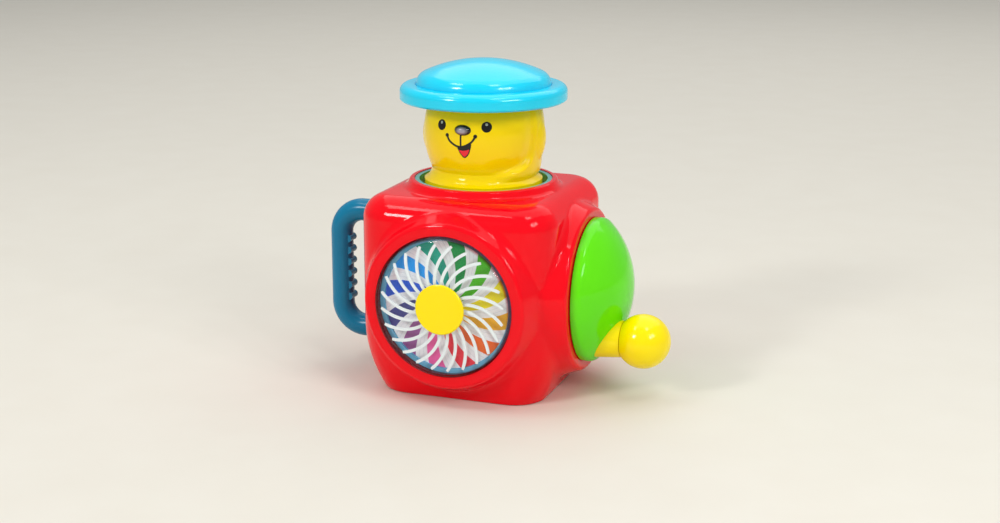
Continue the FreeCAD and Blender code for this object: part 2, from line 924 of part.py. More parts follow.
# The stem's foot follows the dome that it stands on.
def knob_stem():
    start = knob_axis() + X * (dome_base() + dome_side)
    length = knob_flat() - free - start.x
    cone = Part.makeCone(stem_base_radius, stem_end_radius, length, start, X)
    return cone.cut([dome_solid(-fit), rod(knob_pin_radius + fit, start, X, length)])


def knob_pin_end():
    return knob_centre().x + knob_radius / 2


def knob_pin():
    start = knob_axis() + X * (dome_base() + seat)
    return rod(knob_pin_radius, start, X, knob_pin_end() - start.x)


def knob():
    ball = Part.makeSphere(knob_radius, knob_centre())
    flat = knob_flat()
    start = knob_axis() + X * (flat - knob_radius)
    bore_start = knob_axis() + X * flat
    return ball.cut([
        rod(knob_radius, start, X, knob_radius),
        rod(knob_pin_radius + running, bore_start, X, knob_pin_end() + seat - flat),
    ])


def crown_face():
    return spinner_radius + tooth_addendum * crown_module + free


def crank_shaft():
    step = crown_face() - shaft_shoulder
    journal_start = right_cheek_place - journal_overhang
    shaft = joined([
        rod(crank_journal_radius, axle + X * journal_start, X, step - journal_start),
        rod(crank_shaft_radius, axle + X * step, X, crank_shaft_end() - step),
    ])
    return shaft.cut(crank_pin_rod(fit))


# Crown wheel: a disc whose ring of cone pegs turns the spinner gear at right angles.
def crown_gear():
    face = crown_face()
    slope = math.tan(math.radians(pressure_angle))
    peg_length = face - spinner_radius + tooth_addendum * crown_module
    foot = peg_radius + (face - spinner_radius) * slope
    tip = foot - peg_length * slope
    disc = rod(crown_radius + crown_rim, axle + X * face, X, crown_disc)
    hub = rod(crank_hub_radius, axle + X * face, X, crown_hub)
    disc = disc.cut(gear_windows(crown_radius, 6, axle + X * face, X, Z, crown_disc)).fuse(hub)
    peg = Part.makeCone(foot, tip, peg_length, axle + X * face + OUT * crown_radius, X * -1)
    wheel = joined([disc] + ring_of(peg, crown_pegs, axle, X))
    return wheel.cut(rod(crank_shaft_radius + fit, axle, X, box_half))


def crank_pinion():
    start = axle + X * music_gear_place
    gear = gear_along_x(pinion_teeth, music_module, music_gear_width, start, drum_bearing_angle)
    return gear.cut(rod(crank_journal_radius + fit, start, X, music_gear_width))


def drum_axis(x):
    return Vector(x, drum_y, drum_z)


def drum_gear():
    start = drum_axis(music_gear_place)
    half_tooth = 180.0 / drum_teeth
    angle = 180 + drum_bearing_angle + half_tooth
    gear = gear_along_x(drum_teeth, music_module, music_gear_width, start, angle)
    windows = gear_windows(music_module * drum_teeth / 2, 5, start, X, Y, music_gear_width)
    return gear.cut([rod(drum_shaft_radius + fit, start, X, music_gear_width)] + windows)


def drum_start():
    return left_cheek_place + frame_sheet + free


def drum_length():
    return right_cheek_place - free - drum_start()


def comb_pitch():
    return drum_length() / (comb_teeth + 1)


# The tune's pins step round the drum in a spiral, one under each tooth of the comb.
def music_drum():
    start = drum_axis(drum_start())
    drum = rod(drum_radius, start, X, drum_length())
    pins = []
    for index in range(drum_pin_count):
        along = comb_pitch() * (1 + index * 5 % comb_teeth)
        pin = rod(drum_pin_radius, start + X * along + Y * (drum_radius - 1.0), Y, drum_pin_height + 1.0)
        pin.rotate(start, X, 360.0 * (index + 0.5) / drum_pin_count)
        pins.append(pin)
    return joined([drum] + pins).cut(rod(drum_shaft_radius + fit, start, X, drum_length()))


def drum_shaft():
    start = drum_axis(cam_place)
    return rod(drum_shaft_radius, start, X, music_gear_place + music_gear_width + drum_shaft_end - cam_place)


def trip_cam():
    start = drum_axis(cam_place)
    lobe_reach = latch_arm_bottom - drum_z - free
    tip_radius = cam_tip_radius
    lobe = rod(tip_radius, start - Z * (lobe_reach - tip_radius), X, cam_width)
    flank = block(cam_place, cam_place + cam_width, drum_y - tip_radius, drum_y + tip_radius,
                  drum_z - lobe_reach + tip_radius, drum_z)
    cam = joined([rod(cam_radius, start, X, cam_width), lobe, flank])
    return cam.cut(rod(drum_shaft_radius + fit, start, X, cam_width))


def comb_level():
    return drum_z - comb_thickness / 2


def comb_front():
    return drum_y + drum_radius + drum_pin_height + free


def cheek(x, points):
    corners = [Vector(x, y, z) for y, z in points]
    return Part.Face(Part.makePolygon(corners + corners[:1])).extrude(X * frame_sheet)


def comb_bar_back():
    return comb_front() + comb_length


def music_frame():
    bar_back = comb_bar_back()
    bar_front = bar_back - comb_bar_width
    bar_bottom = comb_level() - comb_bar_width
    front = drum_y - drum_radius
    back = drum_y + drum_radius
    foot_front = -crank_hub_radius
    foot_back = post_place - post_radius - free
    cheek_top = axle_height + cheek_margin
    drum_top = drum_z + cheek_margin
    shoulder = drum_y + cheek_shoulder
    left = cheek(left_cheek_place, [
        (front, floor_thickness), (back, floor_thickness), (bar_back, bar_bottom), (bar_back, comb_level()),
        (bar_front, comb_level()), (shoulder, drum_top), (front, drum_top),
    ])
    right = cheek(right_cheek_place, [
        (foot_front, floor_thickness), (foot_back, floor_thickness), (foot_back, post_height + free),
        (bar_back, bar_bottom), (bar_back, comb_level()), (bar_front, comb_level()), (shoulder, drum_top),
        (cheek_margin, cheek_top), (foot_front, cheek_top),
    ])
    end = right_cheek_place + frame_sheet
    floor = block(left_cheek_place, end, front, foot_back, floor_thickness, floor_thickness + frame_sheet)
    bar = block(left_cheek_place, end, bar_front, bar_back, bar_bottom, comb_level())
    pads = [floor_pad(p) for p in floor_screw_places()[:3]]
    frame = joined([left, right, floor, bar] + pads)
    cuts = [
        rod(drum_shaft_radius + running, drum_axis(0), X, box_half),
        rod(crank_journal_radius + running, axle, X, box_half),
    ]
    cuts += [floor_screw_hole(p) for p in floor_screw_places()[:3]]
    cuts += [screw_hole(p - Z * comb_screw_length, Z, comb_screw_length) for p in comb_screw_seats()]
    return frame.cut(cuts)


def comb_screw_seats():
    middle = drum_start() + drum_length() / 2
    y = comb_bar_back() - comb_bar_width / 2
    height = comb_level() + comb_thickness
    return [Vector(middle + side * drum_length() / 3, y, height) for side in (-1, 1)]


def music_comb():
    start = drum_start()
    front, back = comb_front(), comb_bar_back()
    plate = block(start, start + drum_length(), front, back, comb_level(), comb_level() + comb_thickness)
    slots = []
    for index in range(comb_teeth + 1):
        x = start + comb_pitch() * (index + 0.5)
        slots.append(block(x - comb_slot / 2, x + comb_slot / 2, front, back - comb_bar_width - comb_root,
                           comb_level(), comb_level() + comb_thickness))
    holes = [rod(shank_radius + fit, p - Z * comb_thickness, Z, comb_thickness) for p in comb_screw_seats()]
    return plate.cut(slots + holes)


def comb_screws():
    return Part.makeCompound([screw(p, Z * -1, comb_screw_length) for p in comb_screw_seats()])


def figure_bottom():
    return collar_top - sleeve_sink - sleeve_lip_depth - seat - figure_flange


def figure_start():
    return figure_bottom() + figure_flange + figure_groove


# Outline of the figure from its skirt to the top of its head, drawn in by a given wall.
def figure_profile(inset, closed_top):
    start = figure_start()
    top = start + head_top - closed_top
    flare = start + skirt_height + (neck_height - skirt_height) * neck_flare_height
    return turned([
        (0, start), (skirt_radius - inset, start), (skirt_radius - inset, start + skirt_height),
        ((neck_radius + neck_flare - inset, flare), (neck_radius - inset, start + neck_height)),
        ((head_radius_wide - inset, start + head_middle), (head_radius_top - inset, top)), (0, top),
    ], Vector(), Z)


def arm_place(side):
    angle = math.radians(arm_angle)
    height = figure_start() + head_top / 2 + arm_raise
    return Vector(side * arm_centre * math.sin(angle), -arm_centre * math.cos(angle), height)


def figure_arm(side):
    half = arm_half_height
    return turned([(0, -half), ((arm_radius, 0), (0, half))], arm_place(side), Z)


def figure_screw_places():
    place = figure_screw_place
    return [Vector(sx * place, sy * place, figure_bottom()) for sx in (-1, 1) for sy in (-1, 1)]


def figure_screw_length():
    return figure_flange + figure_screw_bite


def hat_screw_places():
    return [Vector(0, side * head_radius_top / 2, figure_start() + head_top) for side in (-1, 1)]


def figure_nose():
    place = Vector(0, -nose_seat(), figure_start() + nose_level_on_face())
    nose = Part.makeSphere(1.0)
    scale = FreeCAD.Matrix()
    scale.scale(Vector(nose_width, nose_reach * 2, nose_height))
    nose = nose.transformGeometry(scale)
    nose.translate(place)
    return nose


def nose_level_on_face():
    return head_middle + nose_raise


def nose_seat():
    return head_radius_wide - nose_reach - nose_sink


def figure_solid():
    skin = figure_profile(0, 0).cut(figure_profile(figure_wall, figure_wall))
    screw_posts = [rod(inner_post_radius, p + Z * figure_flange, Z, figure_screw_bite + figure_screw_end)
                   for p in figure_screw_places()]
    arms = [figure_arm(side).cut(figure_profile(figure_wall, figure_wall)) for side in (-1, 1)]
    limit = rod(figure_flange_radius, Z * figure_bottom(), Z, figure_start() + head_top - figure_bottom())
    solid = joined([skin] + screw_posts + [arm.common(limit) for arm in arms])
    cuts = [screw_hole(p, Z, figure_screw_length()) for p in figure_screw_places()]
    cuts += [rod(shank_radius + fit, p - Z * 2 * figure_wall, Z, 3 * figure_wall) for p in hat_screw_places()]
    return solid.cut(cuts)


def figure_half(front):
    half = box_half
    y0, y1 = (-half, 0) if front else (0, half)
    keep = block(-half, half, y0, y1, figure_bottom(), 2 * box_top)
    return figure_solid().common(keep)


def figure_front():
    return joined([figure_half(True), figure_nose().cut(figure_profile(figure_wall, figure_wall))])


def figure_back():
    return figure_half(False)


def figure_base():
    bottom = figure_bottom()
    top = bottom + figure_flange
    spigot = skirt_radius - figure_wall - seat
    tube_bottom = bottom - stem_tube_length
    tube = guide_post_radius + running + stem_tube_wall
    body = joined([
        rod(figure_flange_radius, Z * bottom, Z, figure_flange),
        pipe(spigot, spigot - figure_wall, Z * top, Z, figure_groove + skirt_height),
        rod(tube, Z * tube_bottom, Z, stem_tube_length + figure_flange),
    ])
    bore = rod(guide_post_radius + running, Z * tube_bottom, Z, box_top)
    flat = guide_post_flat + running
    bore = bore.common(block(-flat, flat, -box_half, box_half, 0, 2 * box_top))
    return body.cut([bore] + [screw_hole(p, Z, figure_flange) for p in figure_screw_places()])


def figure_screws():
    return Part.makeCompound([screw(p, Z, figure_screw_length()) for p in figure_screw_places()])


def hat_bottom():
    return collar_top + hat_lift


# Flat beret: a thick rounded brim, a groove and a low crown, hollow inside.
def hat():
    bottom = hat_bottom()
    brim_top = bottom + hat_brim_height
    top = brim_top + hat_crown_height
    wall = hat_wall
    edge, crown, bend = hat_brim_radius, hat_crown_radius, hat_brim_round
    groove = crown + hat_groove
    diagonal = bend * (1 - math.sqrt(0.5))
    outside = domed(crown, 0, hat_crown_height, hat_crown_shoulder)
    shell = turned([
        (0, bottom), (edge - hat_edge, bottom), (edge, bottom + hat_edge), (edge, brim_top - bend),
        ((edge - diagonal, brim_top - diagonal), (edge - bend, brim_top)),
        (groove, brim_top), (crown, brim_top - hat_groove),
    ] + [raised(step, brim_top) for step in outside], Vector(), Z)
    inside = domed(crown - wall, 0, hat_crown_height - wall, hat_crown_shoulder - wall)
    hollow = turned([
        (0, bottom), (edge - wall, bottom), (edge - wall, brim_top - bend),
        (edge - bend, brim_top - wall), (crown - wall, brim_top - wall),
    ] + [raised(step, brim_top) for step in inside], Vector(), Z)
    shell = shell.cut(hollow)
    deck = hat_screw_places()[0].z
    posts = [rod(inner_post_radius, p, Z, top - deck).common(hollow) for p in hat_screw_places()]
    hat_body = joined([shell] + posts)
    return hat_body.cut([screw_hole(p, Z, hat_screw_length() - figure_wall) for p in hat_screw_places()])


def raised(step, height):
    if isinstance(step[0], tuple):
        return tuple((radius, along + height) for radius, along in step)
    return (step[0], step[1] + height)


def hat_screw_length():
    return figure_wall + hat_screw_bite


def hat_base():
    inner = head_radius_top + hat_base_gap
    start = Z * (hat_bottom() + hat_base_sink)
    return pipe(hat_brim_radius - hat_wall - seat, inner, start, Z, hat_wall)


def hat_screws():
    return Part.makeCompound([screw(p - Z * figure_wall, Z, hat_screw_length()) for p in hat_screw_places()])


# Coil spring: each quarter turn of the helix is a pair of tangent arcs.
def pop_spring():
    low = floor_thickness + spring_wire + seat
    high = figure_bottom() - spring_wire - seat
    pitch = (high - low) / spring_turns
    slope = pitch / (2 * math.pi)

    def at(angle):
        return Vector(spring_radius * math.cos(angle), spring_radius * math.sin(angle), low + slope * angle)

    def heading(angle):
        return Vector(-spring_radius * math.sin(angle), spring_radius * math.cos(angle), slope).normalize()

    edges = []
    for quarter in range(4 * spring_turns):
        first, last = quarter * math.pi / 2, (quarter + 1) * math.pi / 2
        edges += tangent_arcs(at(first), heading(first), at(last), heading(last))
    wire = Part.Wire(edges)
    spread = [(at(step * math.pi / 16) - at(2 * math.pi)).Length for step in range(32 * spring_turns)
              if abs(step - 32) > 16]
    print("spring gap", round(min(spread) - 2 * spring_wire, 2))
    section = Part.Wire(Part.makeCircle(spring_wire, at(0), heading(0)))
    return wire.makePipeShell([section], True, False)


def tangent_arcs(start, start_heading, end, end_heading):
    chord = end - start
    both = start_heading + end_heading
    spread = 2 * (1 - start_heading.dot(end_heading))
    reach = (math.sqrt(chord.dot(both) ** 2 + spread * chord.dot(chord)) - chord.dot(both)) / spread
    joint = (start + end + (start_heading - end_heading) * reach) * 0.5
    return [tangent_arc(start, start_heading, joint), tangent_arc(end, end_heading * -1, joint, True)]


# The arc that leaves a point along a heading and ends at another point.
def tangent_arc(start, heading, end, backwards=False):
    chord = end - start
    normal = chord - heading * chord.dot(heading)
    radius = chord.dot(chord) / (2 * normal.Length)
    centre = start + normal.normalize() * radius
    middle = (start + end) * 0.5 - centre
    way = centre + middle.normalize() * radius
    if backwards:
        return Part.Arc(end, way, start).toShape()
    return Part.Arc(start, way, end).toShape()


def nose_level():
    return figure_bottom() + figure_flange - figure_travel + latch_dip


def latch_hinge():
    return Vector(latch_hinge_x, drum_y - latch_width / 2, latch_hinge_z)


# Bell crank: the upright hooks over the figure's flange, the long arm rides over the trip cam.
def latch_lever():
    y0, y1 = drum_y - latch_width / 2, drum_y + latch_width / 2
    level = nose_level()
    upright_back = latch_hinge_x - latch_arm / 2
    upright = block(upright_back, upright_back + latch_arm, y0, y1, latch_hinge_z, level + latch_nose)
    nose = block(upright_back, 0, y0, y1, level, level + latch_nose)
    nose = nose.cut(rod(figure_flange_radius + free, Z * (level - latch_overhang), Z, 2 * latch_arm))
    arm_end = cam_place + cam_width + latch_overhang
    arm = block(latch_hinge_x, arm_end, y0, y1, latch_arm_bottom, latch_arm_bottom + latch_arm)
    boss = rod(latch_boss_radius, latch_hinge(), Y, latch_width)
    lever = joined([upright, nose, arm, boss])
    return lever.cut(rod(latch_pin_radius + running, latch_hinge(), Y, latch_width))


def latch_bracket():
    sheet = latch_bracket_sheet
    y0, y1 = drum_y - latch_width / 2 - seat, drum_y + latch_width / 2 + seat
    back, front = latch_hinge_x - latch_bracket_half, latch_hinge_x + latch_bracket_half
    ear_top = latch_hinge_z + latch_boss_radius
    web_top = latch_hinge_z - latch_boss_radius - latch_web_drop
    foot_end = latch_hinge_x + latch_foot
    bracket = joined([
        block(back, front, y0 - sheet, y0, floor_thickness, ear_top),
        block(back, front, y1, y1 + sheet, floor_thickness, ear_top),
        block(back, back + latch_web, y0, y1, floor_thickness, web_top),
        block(back, foot_end, y0 - sheet, y1 + sheet, floor_thickness, floor_thickness + sheet),
    ] + [floor_pad(p).common(block(back, foot_end, y0, y1, 0, box_half)) for p in floor_screw_places()[3:]])
    pin_hole = rod(latch_pin_radius + fit, latch_hinge() - Y * box_half, Y, 2 * box_half)
    holes = [floor_screw_hole(p) for p in floor_screw_places()[3:]]
    return bracket.cut([pin_hole] + holes)


def latch_pin():
    length = latch_width + 2 * seat + 2 * latch_bracket_sheet
    return rod(latch_pin_radius, latch_hinge() - Y * (seat + latch_bracket_sheet), Y, length)


pieces = [
    body_shell, base_plate, base_screws, floor_screws, guide_sleeve, sleeve_screws,
    window_lens, swirl_grille, hub_cap, window_cup, cup_screws,
    spinner_wheel, rainbow_disc, spinner_shaft, spinner_gear,
    carry_handle, handle_screws,
    crank_bush, crank_disc, crank_pin, crank_shaft, crown_gear, crank_pinion, knob_stem, knob_pin, knob,
    music_frame, music_comb, comb_screws, music_drum, drum_shaft, drum_gear, trip_cam,
    figure_front, figure_back, figure_base, figure_screws, hat, hat_base, hat_screws,
    pop_spring, latch_lever, latch_bracket, latch_pin,
]

os.makedirs("parts", exist_ok=True)
for piece in pieces:
    shape = piece()
    shape.exportStep("parts/" + piece.__name__ + ".step")
    print(piece.__name__, len(shape.Solids), shape.isValid(), round(shape.Volume))
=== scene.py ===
import json
import math
import bmesh
import bpy
from mathutils import Matrix, Vector
from mathutils.bvhtree import BVHTree


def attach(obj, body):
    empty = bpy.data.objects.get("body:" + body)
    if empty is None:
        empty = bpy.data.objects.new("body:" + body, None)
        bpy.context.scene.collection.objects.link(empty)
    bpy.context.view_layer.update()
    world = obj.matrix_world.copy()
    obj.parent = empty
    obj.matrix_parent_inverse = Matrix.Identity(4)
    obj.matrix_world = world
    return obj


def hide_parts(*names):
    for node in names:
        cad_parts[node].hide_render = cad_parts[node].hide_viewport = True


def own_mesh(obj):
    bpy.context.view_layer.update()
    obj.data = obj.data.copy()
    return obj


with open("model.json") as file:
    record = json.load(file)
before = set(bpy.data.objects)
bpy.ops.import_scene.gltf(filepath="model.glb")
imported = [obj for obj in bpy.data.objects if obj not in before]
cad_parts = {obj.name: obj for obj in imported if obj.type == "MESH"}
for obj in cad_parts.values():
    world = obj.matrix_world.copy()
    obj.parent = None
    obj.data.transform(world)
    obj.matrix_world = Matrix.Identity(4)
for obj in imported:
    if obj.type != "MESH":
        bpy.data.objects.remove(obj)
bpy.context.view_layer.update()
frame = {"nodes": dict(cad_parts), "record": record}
nodes = frame["nodes"]
record = frame["record"]
scene = bpy.context.scene
scene.view_settings.view_transform = "Standard"
bodyOf = {node: body for body, members in record["behaviour"]["bodies"].items() for node in members}
mm = 0.001
axleHeight = 57.5  # crank and window share this height
weldMm = 0.004  # points closer than this are one
sliverMm = 0.0001  # faces thinner than this go
hardEdge = 32  # degrees past which an edge stays hard
print("frame loaded with", len(nodes), "nodes")


# one function for every colour, sRGB hex in, linear out
def linearColour(code):
    channels = [int(code[i:i + 2], 16) / 255 for i in (0, 2, 4)]
    return [c / 12.92 if c <= 0.04045 else ((c + 0.055) / 1.055) ** 2.4 for c in channels] + [1.0]


# settings name an input or a property, links name an input and the socket that feeds it
def addNode(tree, kind, settings={}, links={}):
    node = tree.nodes.new(kind)
    for key, value in settings.items():
        if isinstance(key, str) and hasattr(node, key):
            setattr(node, key, value)
        else:
            node.inputs[key].default_value = value
    for key, source in links.items():
        tree.links.new(source, node.inputs[key])
    return node


def startMaterial(name):
    material = bpy.data.materials.new(name)
    material.use_nodes = True
    material.node_tree.nodes.clear()
    return material, material.node_tree


def endMaterial(tree, shader):
    addNode(tree, "ShaderNodeOutputMaterial", {}, {"Surface": shader.outputs[0]})


# moulded plastics: a faint flow of the pigment, a fine orange peel from the mould and handled gloss
plastics = {
    # deep wet looking red with small sharp lights
    "redMouldedAbs": {"colour": "F60218", "shade": "EE0014", "rough": 0.06, "ior": 1.53, "level": 0.2},
    # duller red that shows broad soft light only
    "redSatinAbs": {"colour": "C8101A", "shade": "B40C16", "rough": 0.38, "ior": 1.53, "level": 0.4},
    # clean white that stands out from the print behind it
    "whiteMouldedAbs": {"colour": "FBFBF9", "shade": "F1F1EE", "rough": 0.2, "ior": 1.53, "level": 0.4},
    # bright lemon with a small clear light
    "yellowMouldedAbs": {"colour": "FFE600", "shade": "FCDE00", "rough": 0.1, "ior": 1.53, "level": 0.28},
    # slightly warmer and waxier yellow
    "yellowPolypropylene": {"colour": "FFE000", "shade": "F9D600", "rough": 0.12, "ior": 1.49, "level": 0.28},
    # clear sky blue that mirrors a pale sheen
    "skyPolypropylene": {"colour": "04D6F2", "shade": "02CAEC", "rough": 0.16, "ior": 1.49, "level": 0.6},
    # deep sea blue with soft lights, darker than the handle's own light blue: painted shade
    "shadeDarkenedBlueAbs": {"colour": "0A7CA2", "shade": "087096", "rough": 0.22, "ior": 1.53, "level": 0.24},
    # pale blue that still shows in the shade of the window
    "aquaMouldedAbs": {"colour": "78CDEE", "shade": "6EC2E4", "rough": 0.22, "ior": 1.53, "level": 0.4},
    # greyer green blue
    "tealMouldedAbs": {"colour": "63BFC2", "shade": "58B2B6", "rough": 0.22, "ior": 1.53, "level": 0.4},
    # fresh lime with sharp lights
    "limeMouldedAbs": {"colour": "66E60A", "shade": "5CDA06", "rough": 0.09, "ior": 1.53, "level": 0.28},
    # milky and dull, as gears are left
    "naturalAcetal": {"colour": "EDEDE6", "shade": "E0E0D8", "rough": 0.42, "ior": 1.48, "level": 0.5},
    # plain dull grey
    "greyAbs": {"colour": "7A7C80", "shade": "6E7074", "rough": 0.45, "ior": 1.53, "level": 0.5},
    # dense black that stays glossy
    "blackPadInk": {"colour": "0C0B0A", "shade": "141210", "rough": 0.2, "ior": 1.5, "level": 0.4},
    # flat strong red
    "redPadInk": {"colour": "EE2436", "shade": "E41C2E", "rough": 0.25, "ior": 1.5, "level": 0.4},
    # pale dot that reads as a light in the eye
    "palePadInk": {"colour": "A9B3A6", "shade": "9CA69A", "rough": 0.25, "ior": 1.5, "level": 0.4},
}
# size in millimetres and detail of each pattern; the peel is drawn coarser than real so that it shows
mouldGrain = {"flow": (28.0, 2.0), "handled": (6.0, 4.0), "peel": (1.4, 1.0), "peelDepthMm": 0.012,
              "peelShare": 0.08, "polished": 0.02, "dulled": 0.03}


def mouldedPlastic(name, look):
    material, tree = startMaterial(name)
    place = addNode(tree, "ShaderNodeTexCoord").outputs["Object"]
    pattern = {}
    for key in ("flow", "handled", "peel"):
        size, detail = mouldGrain[key]
        noise = addNode(tree, "ShaderNodeTexNoise", {"Scale": 1 / (size * mm), "Detail": detail},
                        {"Vector": place})
        pattern[key] = noise.outputs[0]
    tint = addNode(tree, "ShaderNodeMix", {"data_type": "RGBA", 6: linearColour(look["colour"]),
                                           7: linearColour(look["shade"])}, {0: pattern["flow"]})
    gloss = addNode(tree, "ShaderNodeMapRange", {"To Min": look["rough"] - mouldGrain["polished"],
                                                 "To Max": look["rough"] + mouldGrain["dulled"]},
                    {"Value": pattern["handled"]})
    skin = addNode(tree, "ShaderNodeBump", {"Strength": mouldGrain["peelShare"],
                                            "Distance": mouldGrain["peelDepthMm"] * mm},
                   {"Height": pattern["peel"]})
    shader = addNode(tree, "ShaderNodeBsdfPrincipled",
                     {"IOR": look["ior"], "Specular IOR Level": look["level"]},
                     {"Base Color": tint.outputs[2], "Roughness": gloss.outputs[0],
                      "Normal": skin.outputs[0]})
    endMaterial(tree, shader)
    return material


finish = {name: mouldedPlastic(name, look) for name, look in plastics.items()}

# metals: a fine grain in colour and gloss, as plating and turning leave it
metals = {
    # cool grey with soft broken lights
    "zincPlatedSteel": {"colour": "C4C7CC", "shade": "A9ACB2", "rough": 0.3, "grainMm": 0.6},
    # warm yellow, a little brighter
    "turnedBrass": {"colour": "D8B25A", "shade": "BD9440", "rough": 0.26, "grainMm": 0.4},
}
metalGrain = {"detail": 3.0, "polished": 0.06, "dulled": 0.1}


def plainMetal(name, look):
    material, tree = startMaterial(name)
    place = addNode(tree, "ShaderNodeTexCoord").outputs["Object"]
    grain = addNode(tree, "ShaderNodeTexNoise", {"Scale": 1 / (look["grainMm"] * mm),
                                                 "Detail": metalGrain["detail"]}, {"Vector": place})
    tint = addNode(tree, "ShaderNodeMix", {"data_type": "RGBA", 6: linearColour(look["colour"]),
                                           7: linearColour(look["shade"])}, {0: grain.outputs[0]})
    gloss = addNode(tree, "ShaderNodeMapRange", {"To Min": look["rough"] - metalGrain["polished"],
                                                 "To Max": look["rough"] + metalGrain["dulled"]},
                    {"Value": grain.outputs[0]})
    shader = addNode(tree, "ShaderNodeBsdfPrincipled", {"Metallic": 1.0},
                     {"Base Color": tint.outputs[2], "Roughness": gloss.outputs[0]})
    endMaterial(tree, shader)
    return material


finish.update({name: plainMetal(name, look) for name, look in metals.items()})


# split place, and distance from a centre line that runs along Y
def reachAcross(tree, mapping):
    place = addNode(tree, "ShaderNodeTexCoord").outputs["Object"]
    centred = addNode(tree, "ShaderNodeMapping", mapping, {"Vector": place})
    parts = addNode(tree, "ShaderNodeSeparateXYZ", {}, {0: centred.outputs[0]})
    flat = addNode(tree, "ShaderNodeCombineXYZ", {}, {0: parts.outputs[0], 2: parts.outputs[2]})
    reach = addNode(tree, "ShaderNodeVectorMath", {"operation": "LENGTH"}, {0: flat.outputs[0]})
    return parts, reach.outputs["Value"]


windowCentre = {"Location": (0, 0, -axleHeight * mm)}

# clear polystyrene: a thin polished wall, so it mirrors at a slant and is nearly unseen face on
# edge is a dark red tint painted on the turned up edge of the lens, from edgeFrom to edgeTo millimetres off
# the axle: painted reflection and painted shade
clearWall = {"ior": 1.26, "rough": 0.03, "tint": "FCFEFF", "shine": "EEF4F6", "edge": "D08890",
             "edgeFrom": 37.4, "edgeTo": 38.6}


def clearPolystyrene(look):
    material, tree = startMaterial("clearPolystyrene")
    # both sides of the wall mirror alike, so the index turns over on the far side
    side = addNode(tree, "ShaderNodeNewGeometry")
    index = addNode(tree, "ShaderNodeMath", {"operation": "MULTIPLY_ADD", 1: 1 / look["ior"] - look["ior"],
                                             2: look["ior"]}, {0: side.outputs["Backfacing"]})
    slant = addNode(tree, "ShaderNodeFresnel", {}, {"IOR": index.outputs[0]})
    # the turned up edge is tinted dark red: a painted reflection of the red lip round it, and painted shade
    reach = reachAcross(tree, windowCentre)[1]
    rim = addNode(tree, "ShaderNodeMapRange", {"From Min": look["edgeFrom"] * mm,
                                               "From Max": look["edgeTo"] * mm}, {"Value": reach})
    tint = addNode(tree, "ShaderNodeMix", {"data_type": "RGBA", 6: linearColour(look["tint"]),
                                           7: linearColour(look["edge"])}, {0: rim.outputs[0]})
    through = addNode(tree, "ShaderNodeBsdfTransparent", {}, {"Color": tint.outputs[2]})
    shine = addNode(tree, "ShaderNodeBsdfPrincipled", {"Base Color": linearColour(look["shine"]),
                                                       "Roughness": look["rough"], "Metallic": 1.0})
    mixed = addNode(tree, "ShaderNodeMixShader", {},
                    {0: slant.outputs[0], 1: through.outputs[0], 2: shine.outputs[0]})
    endMaterial(tree, mixed)
    return material


finish["clearPolystyrene"] = clearPolystyrene(clearWall)

# printed card: petals of flat ink between broad white bands that sweep round, each band with a thin pale grey
# line along it
rainbowCard = {
    "petals": ["0CAE90", "00A048", "52C80E", "FFEE10", "FFBC1C", "FF701C",
               "FF3046", "FF66B0", "A65EA0", "46468E", "1E5EDC", "06A6FF"],
    "firstCentre": -10.0, "petalHalf": 0.27, "sweepPerMm": 0.95, "middleMm": 24.0,
    "band": "FFFFFF", "bandLine": "ECEFF2", "bandLineAt": 0.42, "bandLineHalf": 0.012, "rough": 0.45, "ior": 1.45,
}


